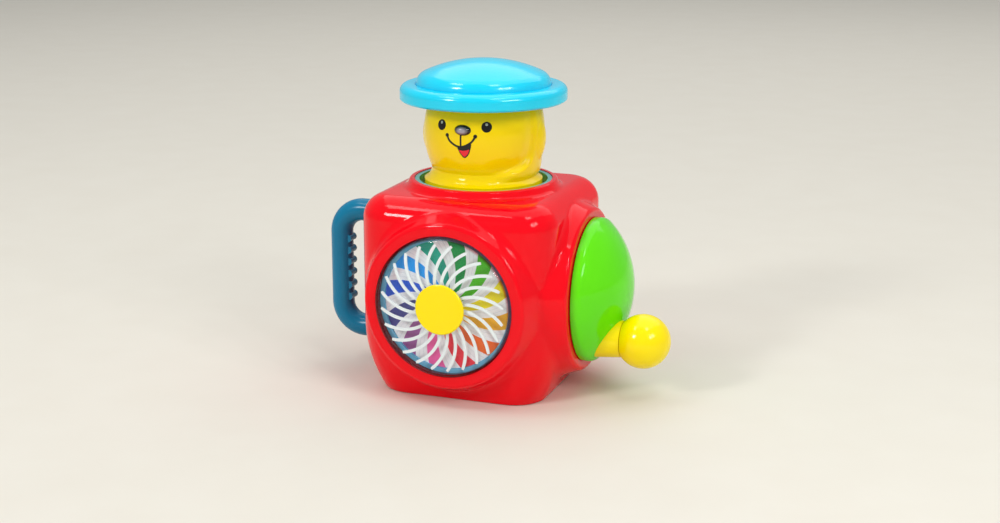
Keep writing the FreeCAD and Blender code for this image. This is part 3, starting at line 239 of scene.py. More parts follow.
def printedRainbow(look):
    material, tree = startMaterial("printedRainbowCard")
    parts, reach = reachAcross(tree, windowCentre)
    clock = addNode(tree, "ShaderNodeMath", {"operation": "ARCTAN2"},
                    {0: parts.outputs[0], 1: parts.outputs[2]})
    count = len(look["petals"])
    perDegree = count / 360
    sweep = look["sweepPerMm"] * perDegree
    # petals counted round the clock, plus the sweep that grows with the radius
    turns = addNode(tree, "ShaderNodeMath", {"operation": "MULTIPLY_ADD", 1: count / (2 * math.pi),
                                             2: count - look["firstCentre"] * perDegree + 0.5},
                    {0: clock.outputs[0]})
    swept = addNode(tree, "ShaderNodeMath", {"operation": "MULTIPLY_ADD", 1: sweep / mm,
                                             2: -look["middleMm"] * sweep}, {0: reach})
    whole = addNode(tree, "ShaderNodeMath", {"operation": "ADD"},
                    {0: turns.outputs[0], 1: swept.outputs[0]})
    wrapped = addNode(tree, "ShaderNodeMath", {"operation": "FLOORED_MODULO", 1: count},
                      {0: whole.outputs[0]})
    share = addNode(tree, "ShaderNodeMath", {"operation": "DIVIDE", 1: count}, {0: wrapped.outputs[0]})
    ink = addNode(tree, "ShaderNodeValToRGB", {}, {0: share.outputs[0]})
    ink.color_ramp.interpolation = "CONSTANT"
    stops = ink.color_ramp.elements
    stops[1].position = 1 / count
    for index, code in enumerate(look["petals"]):
        stop = stops[index] if index < 2 else stops.new(index / count)  # a ramp starts with two
        stop.color = linearColour(code)
    # distance from the middle of the petal tells petal, band and line apart
    local = addNode(tree, "ShaderNodeMath", {"operation": "FRACT"}, {0: wrapped.outputs[0]})
    middle = addNode(tree, "ShaderNodeMath", {"operation": "SUBTRACT", 1: 0.5}, {0: local.outputs[0]})
    side = addNode(tree, "ShaderNodeMath", {"operation": "ABSOLUTE"}, {0: middle.outputs[0]})
    isBand = addNode(tree, "ShaderNodeMath", {"operation": "GREATER_THAN", 1: look["petalHalf"]},
                     {0: side.outputs[0]})
    isBandLine = addNode(tree, "ShaderNodeMath", {"operation": "COMPARE", 1: look["bandLineAt"],
                                              2: look["bandLineHalf"]}, {0: side.outputs[0]})
    band = addNode(tree, "ShaderNodeMix", {"data_type": "RGBA", 6: linearColour(look["band"]),
                                           7: linearColour(look["bandLine"])}, {0: isBandLine.outputs[0]})
    printed = addNode(tree, "ShaderNodeMix", {"data_type": "RGBA"},
                      {0: isBand.outputs[0], 6: ink.outputs[0], 7: band.outputs[2]})
    shader = addNode(tree, "ShaderNodeBsdfPrincipled", {"Roughness": look["rough"], "IOR": look["ior"]},
                     {"Base Color": printed.outputs[2]})
    endMaterial(tree, shader)
    return material


finish["printedRainbowCard"] = printedRainbow(rainbowCard)

# lacquered nose: black at its edge, a soft grey painted highlight in the middle
noseLook = {"width": 5.2, "depth": 4.8, "height": 3.3, "seat": 30.6, "level": 148.9, "coatMm": 0.12,
            "edge": "0A0908", "edgeFrom": 0.74, "paintedSheen": "A39CA6", "paintedSheenTo": 0.3,
            "rough": 0.16, "ior": 1.5, "coat": 0.4, "sides": 48, "rings": 24}


def lacqueredNoseWithPaintedSheen(look):
    material, tree = startMaterial("lacqueredNoseWithPaintedSheen")
    mapping = {"vector_type": "TEXTURE", "Location": (0, 0, look["level"] * mm),
               "Scale": (look["width"] * mm, 1, look["height"] * mm)}
    reach = reachAcross(tree, mapping)[1]
    ink = addNode(tree, "ShaderNodeValToRGB", {}, {0: reach})
    # grey in the middle fading to black at the edge: the grey is a painted highlight
    stops = [(look["paintedSheenTo"], look["paintedSheen"]), (look["edgeFrom"], look["edge"])]
    for stop, (position, code) in zip(ink.color_ramp.elements, stops):
        stop.position = position
        stop.color = linearColour(code)
    shader = addNode(tree, "ShaderNodeBsdfPrincipled",
                     {"Roughness": look["rough"], "IOR": look["ior"], "Coat Weight": look["coat"]},
                     {"Base Color": ink.outputs[0]})
    endMaterial(tree, shader)
    return material


finish["lacqueredNoseWithPaintedSheen"] = lacqueredNoseWithPaintedSheen(noseLook)
print("materials made:", len(finish))


def bakeModifiers(piece):
    bpy.context.view_layer.update()
    evaluated = piece.evaluated_get(bpy.context.evaluated_depsgraph_get())
    plain = bpy.data.meshes.new_from_object(evaluated)
    piece.modifiers.clear()
    piece.data = plain


# puts a mesh on its body in place of CAD nodes, smooth but for edges sharper than the given angle
def settle(name, mesh, material, body, replaced=(), hard=hardEdge):
    mesh.materials.clear()
    mesh.materials.append(finish[material])
    mesh.shade_smooth()
    mesh.set_sharp_from_angle(angle=math.radians(hard))
    piece = bpy.data.objects.new(name, mesh)
    scene.collection.objects.link(piece)
    even = piece.modifiers.new("evenShade", "WEIGHTED_NORMAL")
    even.keep_sharp = True
    bakeModifiers(piece)
    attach(piece, body)
    if replaced:
        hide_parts(*replaced)
    return piece


# a smooth closed or open run through a few points
def smoothRun(points, closed, steps=8):
    count = len(points)
    run = []
    for i in range(count if closed else count - 1):
        spots = [(i + k) % count if closed else min(max(i + k, 0), count - 1) for k in (-1, 0, 1, 2)]
        near = list(zip(*(points[spot] for spot in spots)))
        for step in range(steps):
            t = step / steps
            run.append(tuple(0.5 * (2 * b + (c - a) * t + (2 * a - 5 * b + 4 * c - d) * t * t
                                    + (3 * b - a - 3 * c + d) * t ** 3) for a, b, c, d in near))
    return run if closed else run + [points[-1]]


# raised arm: a crease parts it from the cheek, and it runs down into the shoulder; only the outer skin moves
armLook = {
    # degrees round the head, height and depth
    "crease": [(75, 163.0, 0.5), (74, 154.0, 0.7), (73, 146.0, 0.9), (72.7, 140.0, 1.0),
               (69, 132.5, 1.1), (59, 128.5, 1.0), (40, 126.3, 0.5), (20, 124.5, 0.0)],
    # heights with the radius that the arm fills, and with the radius of the plain head
    "arm": [(116.0, 28.0), (121.0, 31.6), (124.0, 32.4), (128.0, 32.9), (135.0, 33.8),
            (142.0, 34.4), (150.0, 34.0), (158.0, 32.4), (163.5, 30.4)],
    "skin": [(114.5, 33.0), (119.0, 30.4), (123.5, 29.0), (128.5, 30.6), (135.0, 32.4),
             (142.5, 33.3), (150.0, 32.8), (157.0, 31.3), (163.5, 29.3)],
    "cheekHalf": 5.0, "armHalf": 1.8, "rise": 4.0, "comes": (24, 60), "goes": (120, 150), "lead": 10,
    "wall": 1.1, "slack": 0.1, "head": 33.0, "margin": 7.0, "fine": 0.9, "coarse": 2.2, "rounds": 5,
}


def rampUp(value, low, high):
    share = min(max((value - low) / (high - low), 0), 1)
    return share * share * (3 - 2 * share)


def valueAt(points, place):
    for (lowPlace, lowValue), (highPlace, highValue) in zip(points, points[1:]):
        if place <= highPlace:
            break
    return lowValue + (highValue - lowValue) * min(max((place - lowPlace) / (highPlace - lowPlace), 0), 1)


def trianglesOnly(work):
    bmesh.ops.triangulate(work, faces=[face for face in work.faces if len(face.verts) > 3])


def raiseArm(work, look):
    run = [(math.radians(a) * look["head"], z, depth) for a, z, depth in smoothRun(look["crease"], False)]
    arm, skin = smoothRun(look["arm"], False), smoothRun(look["skin"], False)
    lowest, highest = look["skin"][0][0], look["skin"][-1][0] + look["slack"]

    # shift of a point and how far it lies from the crease, or nothing where the skin stays
    def change(vert):
        turn = math.degrees(math.atan2(vert.co.x, -vert.co.y))
        height, reach = vert.co.z / mm, vert.co.xy.length / mm
        if not (look["comes"][0] - look["lead"] < turn < look["goes"][1] and lowest < height < highest):
            return None
        if reach < valueAt(skin, height) - look["wall"]:
            return None
        across = math.radians(turn) * look["head"]
        gap, spot = min((math.hypot(across - a, height - z), i) for i, (a, z, _) in enumerate(run))
        here, before, after = run[spot], run[max(spot - 1, 0)], run[min(spot + 1, len(run) - 1)]
        onArm = ((across - here[0]) * (before[1] - after[1])
                 + (height - here[1]) * (after[0] - before[0])) > 0
        shift = -here[2] * math.exp(-(gap / look["armHalf" if onArm else "cheekHalf"]) ** 2)
        if onArm:
            share = rampUp(turn, *look["comes"]) * (1 - rampUp(turn, *look["goes"]))
            share *= rampUp(gap, 0, look["rise"])
            shift += share * max(valueAt(arm, height) - reach, 0)
        return shift, gap

    def changes():
        found = {vert: change(vert) for vert in work.verts}
        return {vert: move for vert, move in found.items() if move}

    for _ in range(look["rounds"]):
        moved = changes()
        longEdges = []
        for edge in work.edges:
            ends = [moved.get(vert) for vert in edge.verts]
            if all(ends):
                isNear = min(gap for _, gap in ends) < look["margin"]
                if edge.calc_length() > look["fine" if isNear else "coarse"] * mm:
                    longEdges.append(edge)
        bmesh.ops.subdivide_edges(work, edges=longEdges, cuts=1)
        trianglesOnly(work)
        bmesh.ops.remove_doubles(work, verts=work.verts, dist=weldMm * mm)
        bmesh.ops.dissolve_degenerate(work, dist=weldMm * mm, edges=work.edges)
        trianglesOnly(work)
    # flaps of two faces back to back, left by the weld
    bmesh.ops.delete(work, geom=[vert for vert in work.verts if len(vert.link_faces) < 3], context="VERTS")
    for vert, (shift, _) in changes().items():
        vert.co += Vector((vert.co.x, vert.co.y, 0)).normalized() * shift * mm


# a welded, smooth shaded copy of a CAD node
def smoothCopy(node, material, hard=hardEdge):
    work = bmesh.new()
    work.from_mesh(nodes[node].data)
    bmesh.ops.remove_doubles(work, verts=work.verts, dist=weldMm * mm)
    bmesh.ops.dissolve_degenerate(work, dist=sliverMm * mm, edges=work.edges)
    if node in ("figure_front", "figure_back"):
        raiseArm(work, armLook)
    mesh = bpy.data.meshes.new(node + "Skin")
    work.to_mesh(mesh)
    work.free()
    if "custom_normal" in mesh.attributes:
        mesh.attributes.remove(mesh.attributes["custom_normal"])
    return settle(node + "_skin", mesh, material, bodyOf[node], [node], hard)


visibleSkins = {
    "body_shell": "redMouldedAbs", "window_cup": "redMouldedAbs", "base_plate": "redSatinAbs",
    "guide_sleeve": "tealMouldedAbs", "window_lens": "clearPolystyrene", "hub_cap": "yellowMouldedAbs",
    "spinner_wheel": "aquaMouldedAbs", "rainbow_disc": "printedRainbowCard",
    "carry_handle": "shadeDarkenedBlueAbs", "crank_disc": "limeMouldedAbs", "knob_stem": "yellowMouldedAbs",
    "knob": "yellowMouldedAbs", "figure_front": "yellowPolypropylene",
    "figure_back": "yellowPolypropylene", "figure_base": "yellowPolypropylene",
    "hat": "skyPolypropylene", "hat_base": "skyPolypropylene", "crank_bush": "naturalAcetal",
}
skins = {node: smoothCopy(node, material) for node, material in visibleSkins.items()}
print("smooth skins:", len(skins))

# the spring, which shortens as the figure goes down on it, as a smooth copy with a mesh of its own
springLook = {"foot": 3.0, "top": 108.0, "travel": 43.0, "hard": 40}
spring = smoothCopy("pop_spring", "zincPlatedSteel", springLook["hard"])
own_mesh(spring)

insideFinish = {
    "zincPlatedSteel": ["sleeve_screws", "cup_screws", "handle_screws", "comb_screws", "figure_screws",
                        "hat_screws", "spinner_shaft", "crank_shaft", "crank_pin", "knob_pin",
                        "drum_shaft", "latch_pin", "music_comb"],
    "turnedBrass": ["music_drum"],
    "naturalAcetal": ["spinner_gear", "crown_gear", "crank_pinion", "drum_gear", "trip_cam", "latch_lever"],
    "greyAbs": ["music_frame", "latch_bracket"],
}
for material, members in insideFinish.items():
    for node in members:
        nodes[node].data.materials.clear()
        nodes[node].data.materials.append(finish[material])
print("inside pieces finished")


# new node tree with a named input for each size, and the sockets of its inputs
def startTree(name, others, sizes):
    tree = bpy.data.node_groups.new(name, "GeometryNodeTree")
    kinds = {**others, **{label: "NodeSocketFloat" for label in sizes}}
    for label, kind in kinds.items():
        tree.interface.new_socket(name=label, in_out="INPUT", socket_type=kind)
    tree.interface.new_socket(name="Geometry", in_out="OUTPUT", socket_type="NodeSocketGeometry")
    return tree, addNode(tree, "NodeGroupInput").outputs


def endTree(tree, geometry, material):
    real = addNode(tree, "GeometryNodeRealizeInstances", {}, {0: geometry})
    coated = addNode(tree, "GeometryNodeSetMaterial", {"Material": finish[material]}, {0: real.outputs[0]})
    addNode(tree, "NodeGroupOutput", {}, {0: coated.outputs[0]})


# grows a tree's mesh in millimetres and turns it to metres
def growMesh(name, tree, sizes, points=()):
    seed = bpy.data.meshes.new(name + "Seed")
    seed.from_pydata(points, [], [])
    carrier = bpy.data.objects.new(name, seed)
    scene.collection.objects.link(carrier)
    grower = carrier.modifiers.new(name, "NODES")
    grower.node_group = tree
    for item in tree.interface.items_tree:
        if item.in_out == "INPUT" and item.name in sizes:
            grower[item.identifier] = sizes[item.name]
    bpy.context.view_layer.update()
    mesh = bpy.data.meshes.new_from_object(carrier.evaluated_get(bpy.context.evaluated_depsgraph_get()))
    bpy.data.objects.remove(carrier)
    mesh.transform(Matrix.Scale(mm, 4))
    return mesh


# white swirl: thin spokes that follow the inside of the lens and trail clockwise from the hub
swirlLook = {"Count": 24, "Hub": 13.0, "Reach": 35.4, "Sweep": 25.0, "Width": 1.75, "Thickness": 0.45,
             "Dome": 919.2, "Front": 66.28, "Tip": 0.8, "Axle": axleHeight,
             "points": 20, "ease": 1.25, "taperFrom": 0.93, "hubSides": 64, "hard": 40}


def swirlTree(look):
    tree, given = startTree("swirlSpokes", {"Count": "NodeSocketInt"},
                            ["Hub", "Reach", "Sweep", "Width", "Thickness", "Dome", "Front", "Tip", "Axle"])
    line = addNode(tree, "GeometryNodeCurvePrimitiveLine")
    fine = addNode(tree, "GeometryNodeResampleCurve", {"Count": look["points"]}, {0: line.outputs[0]})
    copies = addNode(tree, "GeometryNodeDuplicateElements", {"domain": "SPLINE"},
                     {0: fine.outputs[0], 2: given["Count"]})
    along = addNode(tree, "GeometryNodeSplineParameter").outputs["Factor"]
    radius = addNode(tree, "ShaderNodeMapRange", {},
                     {"Value": along, "To Min": given["Hub"], "To Max": given["Reach"]}).outputs[0]
    # each spoke starts at its share of the turn and trails back more and more
    turn = addNode(tree, "ShaderNodeMath", {"operation": "DIVIDE"},
                   {0: copies.outputs[1], 1: given["Count"]})
    start = addNode(tree, "ShaderNodeMath", {"operation": "MULTIPLY", 1: 2 * math.pi}, {0: turn.outputs[0]})
    eased = addNode(tree, "ShaderNodeMath", {"operation": "POWER", 1: look["ease"]}, {0: along})
    trail = addNode(tree, "ShaderNodeMath", {"operation": "MULTIPLY"},
                    {0: eased.outputs[0], 1: given["Sweep"]})
    trailed = addNode(tree, "ShaderNodeMath", {"operation": "RADIANS"}, {0: trail.outputs[0]})
    angle = addNode(tree, "ShaderNodeMath", {"operation": "SUBTRACT"},
                    {0: start.outputs[0], 1: trailed.outputs[0]})
    cosine = addNode(tree, "ShaderNodeMath", {"operation": "COSINE"}, {0: angle.outputs[0]})
    sine = addNode(tree, "ShaderNodeMath", {"operation": "SINE"}, {0: angle.outputs[0]})
    across = addNode(tree, "ShaderNodeMath", {"operation": "MULTIPLY"}, {0: cosine.outputs[0], 1: radius})
    above = addNode(tree, "ShaderNodeMath", {"operation": "MULTIPLY_ADD"},
                    {0: sine.outputs[0], 1: radius, 2: given["Axle"]})
    # sphere of the lens: dome less the root of dome squared minus radius squared, less the front
    domeSquare = addNode(tree, "ShaderNodeMath", {"operation": "MULTIPLY"},
                         {0: given["Dome"], 1: given["Dome"]})
    radiusSquare = addNode(tree, "ShaderNodeMath", {"operation": "MULTIPLY"}, {0: radius, 1: radius})
    drop = addNode(tree, "ShaderNodeMath", {"operation": "SUBTRACT"},
                   {0: domeSquare.outputs[0], 1: radiusSquare.outputs[0]})
    root = addNode(tree, "ShaderNodeMath", {"operation": "SQRT"}, {0: drop.outputs[0]})
    sunk = addNode(tree, "ShaderNodeMath", {"operation": "SUBTRACT"}, {0: given["Dome"], 1: root.outputs[0]})
    depth = addNode(tree, "ShaderNodeMath", {"operation": "SUBTRACT"},
                    {0: sunk.outputs[0], 1: given["Front"]})
    spot = addNode(tree, "ShaderNodeCombineXYZ", {},
                   {0: across.outputs[0], 1: depth.outputs[0], 2: above.outputs[0]})
    placed = addNode(tree, "GeometryNodeSetPosition", {},
                     {0: copies.outputs[0], "Position": spot.outputs[0]})
    facing = addNode(tree, "GeometryNodeSetCurveNormal", {"mode": "FREE", "Normal": (0, -1, 0)},
                     {0: placed.outputs[0]})
    # the spokes narrow a little at their blunt ends
    taper = addNode(tree, "ShaderNodeMapRange", {"From Min": look["taperFrom"], "To Min": 1.0},
                    {"Value": along, "To Max": given["Tip"]})
    section = addNode(tree, "GeometryNodeCurvePrimitiveQuadrilateral", {},
                      {"Width": given["Thickness"], "Height": given["Width"]})
    spokes = addNode(tree, "GeometryNodeCurveToMesh", {"Fill Caps": True},
                     {0: facing.outputs[0], 1: section.outputs[0], "Scale": taper.outputs[0]})
    hub = addNode(tree, "GeometryNodeMeshCylinder", {"Vertices": look["hubSides"]},
                  {"Radius": given["Hub"], "Depth": given["Thickness"]})
    hubDepth = addNode(tree, "ShaderNodeMath", {"operation": "MULTIPLY", 1: -1.0}, {0: given["Front"]})
    hubSpot = addNode(tree, "ShaderNodeCombineXYZ", {}, {1: hubDepth.outputs[0], 2: given["Axle"]})
    hubPlaced = addNode(tree, "GeometryNodeTransform", {"Rotation": (math.pi / 2, 0, 0)},
                        {0: hub.outputs["Mesh"], "Translation": hubSpot.outputs[0]})
    whole = addNode(tree, "GeometryNodeJoinGeometry")
    for part in (spokes, hubPlaced):
        tree.links.new(part.outputs[0], whole.inputs[0])
    endTree(tree, whole.outputs[0], "whiteMouldedAbs")
    return tree


swirlMesh = growMesh("swirl", swirlTree(swirlLook), swirlLook)
settle("swirl_spokes", swirlMesh, "whiteMouldedAbs", "housing", ["swirl_grille"],
       swirlLook["hard"])
print("swirl grown:", len(swirlMesh.polygons), "faces")

# cross head screws under the base, sunk in their counterbores
screwLook = {"Head": 2.6, "Face": 2.1, "Height": 1.6, "Shank": 1.3, "Slot": 0.8, "Reach": 1.5, "Depth": 0.9,
             "headSides": 32, "shankSides": 24, "rootShare": 0.75, "secondShare": 0.95, "hard": 35,
             "sink": 0.2}  # head face above the rest plane
screwSets = {
    "base_screws": {"Length": 7.5, "places": [(-36, -36), (-36, 36), (36, -36), (36, 36)]},
    "floor_screws": {"Length": 6.4, "places": [(15, 17), (24.5, 17), (18.25, 29), (-36, 24), (-28, 24)]},
}


def screwTree(look):
    tree, given = startTree("crossHeadScrews", {"Places": "NodeSocketGeometry"},
                            ["Head", "Face", "Height", "Shank", "Slot", "Reach", "Depth", "Length"])
    head = addNode(tree, "GeometryNodeMeshCone", {"Vertices": look["headSides"]},
                   {"Radius Bottom": given["Face"], "Radius Top": given["Head"], "Depth": given["Height"]})
    # the shank starts inside the head, so that the two join to one solid
    root = addNode(tree, "ShaderNodeMath", {"operation": "MULTIPLY", 1: look["rootShare"]},
                   {0: given["Height"]})
    rest = addNode(tree, "ShaderNodeMath", {"operation": "MULTIPLY_ADD", 1: 1 - look["rootShare"]},
                   {0: given["Height"], 2: given["Length"]})
    shank = addNode(tree, "GeometryNodeMeshCone", {"Vertices": look["shankSides"]},
                    {"Radius Bottom": given["Shank"], "Radius Top": given["Shank"], "Depth": rest.outputs[0]})
    shankSpot = addNode(tree, "ShaderNodeCombineXYZ", {}, {2: root.outputs[0]})
    shankUp = addNode(tree, "GeometryNodeTransform", {},
                      {0: shank.outputs["Mesh"], "Translation": shankSpot.outputs[0]})
    solid = addNode(tree, "GeometryNodeMeshBoolean", {"operation": "UNION", "solver": "EXACT"})
    for part in (head.outputs["Mesh"], shankUp.outputs[0]):
        tree.links.new(part, solid.inputs["Mesh 2"])
    # two bars cut the cross, the second less deep so that their ends don't lie in one plane
    cross = addNode(tree, "GeometryNodeMeshBoolean", {"operation": "DIFFERENCE", "solver": "EXACT"},
                    {"Mesh 1": solid.outputs["Mesh"]})
    span = addNode(tree, "ShaderNodeMath", {"operation": "MULTIPLY", 1: 2.0}, {0: given["Reach"]})
    for share, spanSide, slotSide in ((1.0, 0, 1), (look["secondShare"], 1, 0)):
        deep = addNode(tree, "ShaderNodeMath", {"operation": "MULTIPLY", 1: 2.0 * share}, {0: given["Depth"]})
        size = addNode(tree, "ShaderNodeCombineXYZ", {},
                       {spanSide: span.outputs[0], slotSide: given["Slot"], 2: deep.outputs[0]})
        bar = addNode(tree, "GeometryNodeMeshCube", {}, {"Size": size.outputs[0]})
        tree.links.new(bar.outputs["Mesh"], cross.inputs["Mesh 2"])
    copies = addNode(tree, "GeometryNodeInstanceOnPoints", {},
                     {"Points": given["Places"], "Instance": cross.outputs["Mesh"]})
    endTree(tree, copies.outputs[0], "zincPlatedSteel")
    return tree


screwGrower = screwTree(screwLook)
for node, look in screwSets.items():
    screwMesh = growMesh(node, screwGrower, {**screwLook, "Length": look["Length"]},
                         [(x, y, screwLook["sink"]) for x, y in look["places"]])
    settle(node + "_cross", screwMesh, "zincPlatedSteel", bodyOf[node], [node],
           screwLook["hard"])
print("cross head screws grown")

# print on the face: outlines in degrees round the head and millimetres of height, lifts in coats of ink
faceLook = {
    "eyes": [(-23.5, 150.8), (23.2, 151.0)], "eyeRadius": 2.9,
    "glint": (0.0, 1.35), "glintRadius": 0.75, "glintSides": 20,
    "smile": [(-16.1, 145.7), (-14.7, 143.8), (-12.4, 142.2), (-6.9, 140.3), (-1.6, 139.8), (3.5, 140.7),
              (8.4, 142.5), (11.3, 144.5), (12.5, 145.9)],
    "strokeHalf": 0.55, "endRadius": 1.05, "endSides": 24,
    "line": [(-1.7, 147.0), (-1.7, 144.0), (-1.7, 140.2)], "lineHalf": 0.48,
    "mouth": [(-5.2, 139.9), (-3.4, 137.0), (-1.2, 135.0), (1.7, 133.7), (5.2, 135.2), (7.2, 137.6),
              (8.4, 141.6), (3.5, 140.6), (-1.3, 139.9)],
    "tongue": [(-3.3, 137.9), (-1.0, 135.7), (1.7, 134.5), (4.8, 135.9), (6.6, 138.5), (3.6, 138.1),
               (0.1, 137.8)],
    "meanRadius": 33.0, "outside": 60.0, "inkMm": 0.12, "thickCoats": 3, "fewRings": 3, "hard": 50,
    "coats": {"eyes": 1.0, "glints": 2.0, "strokes": 1.0, "ends": 1.2, "mouth": 1.4, "tongue": 2.2},
}
faceSkin = BVHTree.FromPolygons([v.co for v in skins["figure_front"].data.vertices],
                                [p.vertices for p in skins["figure_front"].data.polygons])


# point on the head under a place of the flat drawing, lifted by a few coats of ink
def onFace(across, height, coats):
    angle = across / faceLook["meanRadius"]
    outward = Vector((math.sin(angle), -math.cos(angle), 0))
    outside = faceLook["outside"] * mm
    start = outward * outside + Vector((0, 0, height * mm))
    spot, normal, _, _ = faceSkin.ray_cast(start, -outward, outside)
    return spot + normal * (faceLook["inkMm"] * coats) * mm


def flatPoint(degrees, height):
    return (math.radians(degrees) * faceLook["meanRadius"], height)


def flatRun(key, closed):
    return smoothRun([flatPoint(*point) for point in faceLook[key]], closed)


def circleRun(centre, radius, count=32):
    angles = [2 * math.pi * i / count for i in range(count)]
    return [(centre[0] + radius * math.cos(a), centre[1] + radius * math.sin(a)) for a in angles]


def patchOn(work, outline, coats, rings=6):
    x, z = [sum(point[k] for point in outline) / len(outline) for k in (0, 1)]
    centre = work.verts.new(onFace(x, z, coats))
    last = None
    for ring in range(1, rings + 1):
        share = ring / rings
        spots = [(x + (point[0] - x) * share, z + (point[1] - z) * share) for point in outline]
        row = [work.verts.new(onFace(*spot, coats)) for spot in spots]
        for i in range(len(row)):
            j = (i + 1) % len(row)
            work.faces.new([last[i], row[i], row[j], last[j]] if last else [centre, row[i], row[j]])
        last = row


def strokeOn(work, run, half, coats):
    last = None
    for i, point in enumerate(run):
        before, after = run[max(i - 1, 0)], run[min(i + 1, len(run) - 1)]
        way = Vector((after[0] - before[0], after[1] - before[1])).normalized()
        side = Vector((-way.y, way.x)) * half
        spots = [(point[0] + side.x * k, point[1] + side.y * k) for k in (-1, 0, 1)]
        row = [work.verts.new(onFace(*spot, coats)) for spot in spots]
        if last:
            work.faces.new([last[0], row[0], row[1], last[1]])
            work.faces.new([last[1], row[1], row[2], last[2]])
        last = row


def inkPiece(name, draw, material):
    work = bmesh.new()
    draw(work, faceLook["coats"])
    for face in work.faces:
        face.normal_update()
        if face.normal.y > 0:
            face.normal_flip()
    mesh = bpy.data.meshes.new(name)
    work.to_mesh(mesh)
    work.free()
    coat = bpy.data.objects.new(name + "Coat", mesh)
    scene.collection.objects.link(coat)
    thick = coat.modifiers.new("ink", "SOLIDIFY")
    thick.thickness = faceLook["thickCoats"] * faceLook["inkMm"] * mm
    thick.offset = -1
    bakeModifiers(coat)
    solid = coat.data
    bpy.data.objects.remove(coat)
    return settle(name, solid, material, "figure", (), faceLook["hard"])


def drawEyes(work, coats):
    for eye in faceLook["eyes"]:
        patchOn(work, circleRun(flatPoint(*eye), faceLook["eyeRadius"]), coats["eyes"])


def drawGlints(work, coats):
    for eye in faceLook["eyes"]:
        spot = [place + aside for place, aside in zip(flatPoint(*eye), faceLook["glint"])]
        dot = circleRun(spot, faceLook["glintRadius"], faceLook["glintSides"])
        patchOn(work, dot, coats["glints"], faceLook["fewRings"])


def drawSmile(work, coats):
    smile = flatRun("smile", False)
    strokeOn(work, smile, faceLook["strokeHalf"], coats["strokes"])
    strokeOn(work, flatRun("line", False), faceLook["lineHalf"], coats["strokes"])
    for end in (smile[0], smile[-1]):
        dot = circleRun(end, faceLook["endRadius"], faceLook["endSides"])
        patchOn(work, dot, coats["ends"], faceLook["fewRings"])


def drawMouth(work, coats):
    patchOn(work, flatRun("mouth", True), coats["mouth"])


def drawTongue(work, coats):
    patchOn(work, flatRun("tongue", True), coats["tongue"])


inkPiece("eye_print", drawEyes, "blackPadInk")
inkPiece("eye_glint_print", drawGlints, "palePadInk")
inkPiece("smile_print", drawSmile, "blackPadInk")
inkPiece("mouth_print", drawMouth, "blackPadInk")
inkPiece("tongue_print", drawTongue, "redPadInk")


# thin coat of lacquer over the nose of the CAD head
def noseCoat(look):
    work = bmesh.new()
    bmesh.ops.create_uvsphere(work, u_segments=look["sides"], v_segments=look["rings"], radius=1.0)
    mesh = bpy.data.meshes.new("nose")
    work.to_mesh(mesh)
    work.free()
    size = [(look[key] + look["coatMm"]) * mm for key in ("width", "depth", "height")]
    place = Matrix.Translation((0, -look["seat"] * mm, look["level"] * mm))
    mesh.transform(place @ Matrix.Diagonal(size + [1]))
    return mesh


settle("nose_lacquer", noseCoat(noseLook), "lacqueredNoseWithPaintedSheen", "figure")
print("face printed")

# matt paper floor: pale and dull, wide enough to fill the view, just below the base
stageLook = {"paper": "DEDACF", "fleck": "DAD5C9", "fibreMm": 40.0, "detail": 3.0, "rough": 0.8,
             "level": 0.15, "wide": 6.0, "sides": 64, "below": 0.1}


def paleFloor(look):
    material, tree = startMaterial("palePaper")
    place = addNode(tree, "ShaderNodeTexCoord").outputs["Object"]
    fibre = addNode(tree, "ShaderNodeTexNoise", {"Scale": 1 / (look["fibreMm"] * mm),
                                                 "Detail": look["detail"]}, {"Vector": place})
    tint = addNode(tree, "ShaderNodeMix", {"data_type": "RGBA", 6: linearColour(look["paper"]),
                                           7: linearColour(look["fleck"])}, {0: fibre.outputs[0]})
    shader = addNode(tree, "ShaderNodeBsdfPrincipled",
                     {"Roughness": look["rough"], "Specular IOR Level": look["level"]},
                     {"Base Color": tint.outputs[2]})
    endMaterial(tree, shader)
    rim = circleRun((0, 0), look["wide"], look["sides"])
    mesh = bpy.data.meshes.new("paleFloor")
    mesh.from_pydata([(x, y, -look["below"] * mm) for x, y in rim], [], [range(look["sides"])])
    mesh.materials.append(material)
    floor = bpy.data.objects.new("paleFloor", mesh)
    scene.collection.objects.link(floor)


paleFloor(stageLook)

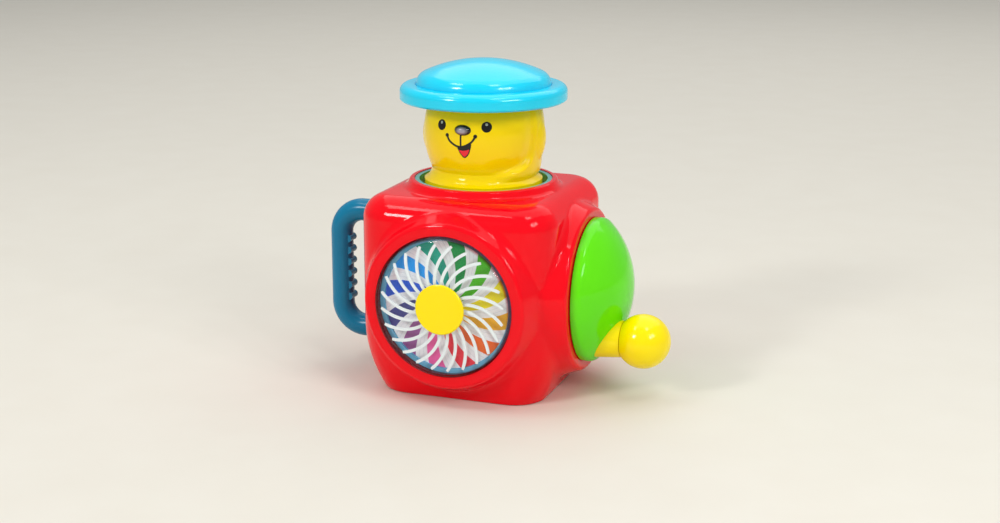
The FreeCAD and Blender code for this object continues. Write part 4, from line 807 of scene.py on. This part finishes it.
# soft boxes: a key from the front left, two small ones overhead, three narrow strips on the right,
# and a wide one above and behind that the hat mirrors
lamps = {
    "keyBox": {"at": (-1.1, -1.9, 1.3), "size": (0.4, 0.4), "power": 18.5},
    "overLeft": {"at": (-0.5, -0.4, 1.15), "size": (0.36, 0.22), "power": 1.7},
    "overRight": {"at": (0.42, -0.36, 1.18), "size": (0.24, 0.24), "power": 1.5},
    "stripNear": {"at": (0.86, -0.72, 0.75), "size": (0.03, 0.3), "power": 1.7},
    "stripMiddle": {"at": (0.96, -0.58, 0.75), "size": (0.03, 0.3), "power": 1.7},
    "stripFar": {"at": (1.04, -0.43, 0.75), "size": (0.03, 0.3), "power": 1.7},
    "topBox": {"at": (0.0, 0.72, 1.78), "size": (2.6, 2.9), "power": 23.0},
}
lampAim = Vector((0, 0, 0.08))
for name, look in lamps.items():
    light = bpy.data.lights.new(name, "AREA")
    light.shape = "RECTANGLE"
    light.size, light.size_y = look["size"]
    light.energy = look["power"]
    lamp = bpy.data.objects.new(name, light)
    lamp.location = look["at"]
    lamp.rotation_euler = (lampAim - Vector(look["at"])).to_track_quat("-Z", "Y").to_euler()
    scene.collection.objects.link(lamp)

# even light of the room from all sides
roomLight = {"colour": "F2F4F6", "strength": 0.46}
world = bpy.data.worlds.new("studio")
scene.world = world
world.use_nodes = True
room = world.node_tree.nodes["Background"]
room.inputs["Color"].default_value = linearColour(roomLight["colour"])
room.inputs["Strength"].default_value = roomLight["strength"]

# camera at the photograph's angle
view = {"turn": 20.3, "rise": 15.2, "distance": 0.958, "target": (0, 0, 0.06), "sensor": 36.0,
        "lens": 60.19, "shift": (0.0164, 0.0125)}
turn, rise = math.radians(view["turn"]), math.radians(view["rise"])
away = Vector((math.sin(turn) * math.cos(rise), -math.cos(turn) * math.cos(rise), math.sin(rise)))
eye = bpy.data.cameras.new("photoView")
eye.sensor_fit = "HORIZONTAL"
eye.sensor_width = view["sensor"]
eye.lens = view["lens"]
eye.shift_x, eye.shift_y = view["shift"]
camera = bpy.data.objects.new("photoView", eye)
camera.location = Vector(view["target"]) + away * view["distance"]
camera.rotation_euler = (math.pi / 2 - rise, 0, turn)
scene.collection.objects.link(camera)
scene.camera = camera
print("stage, lamps and camera set")
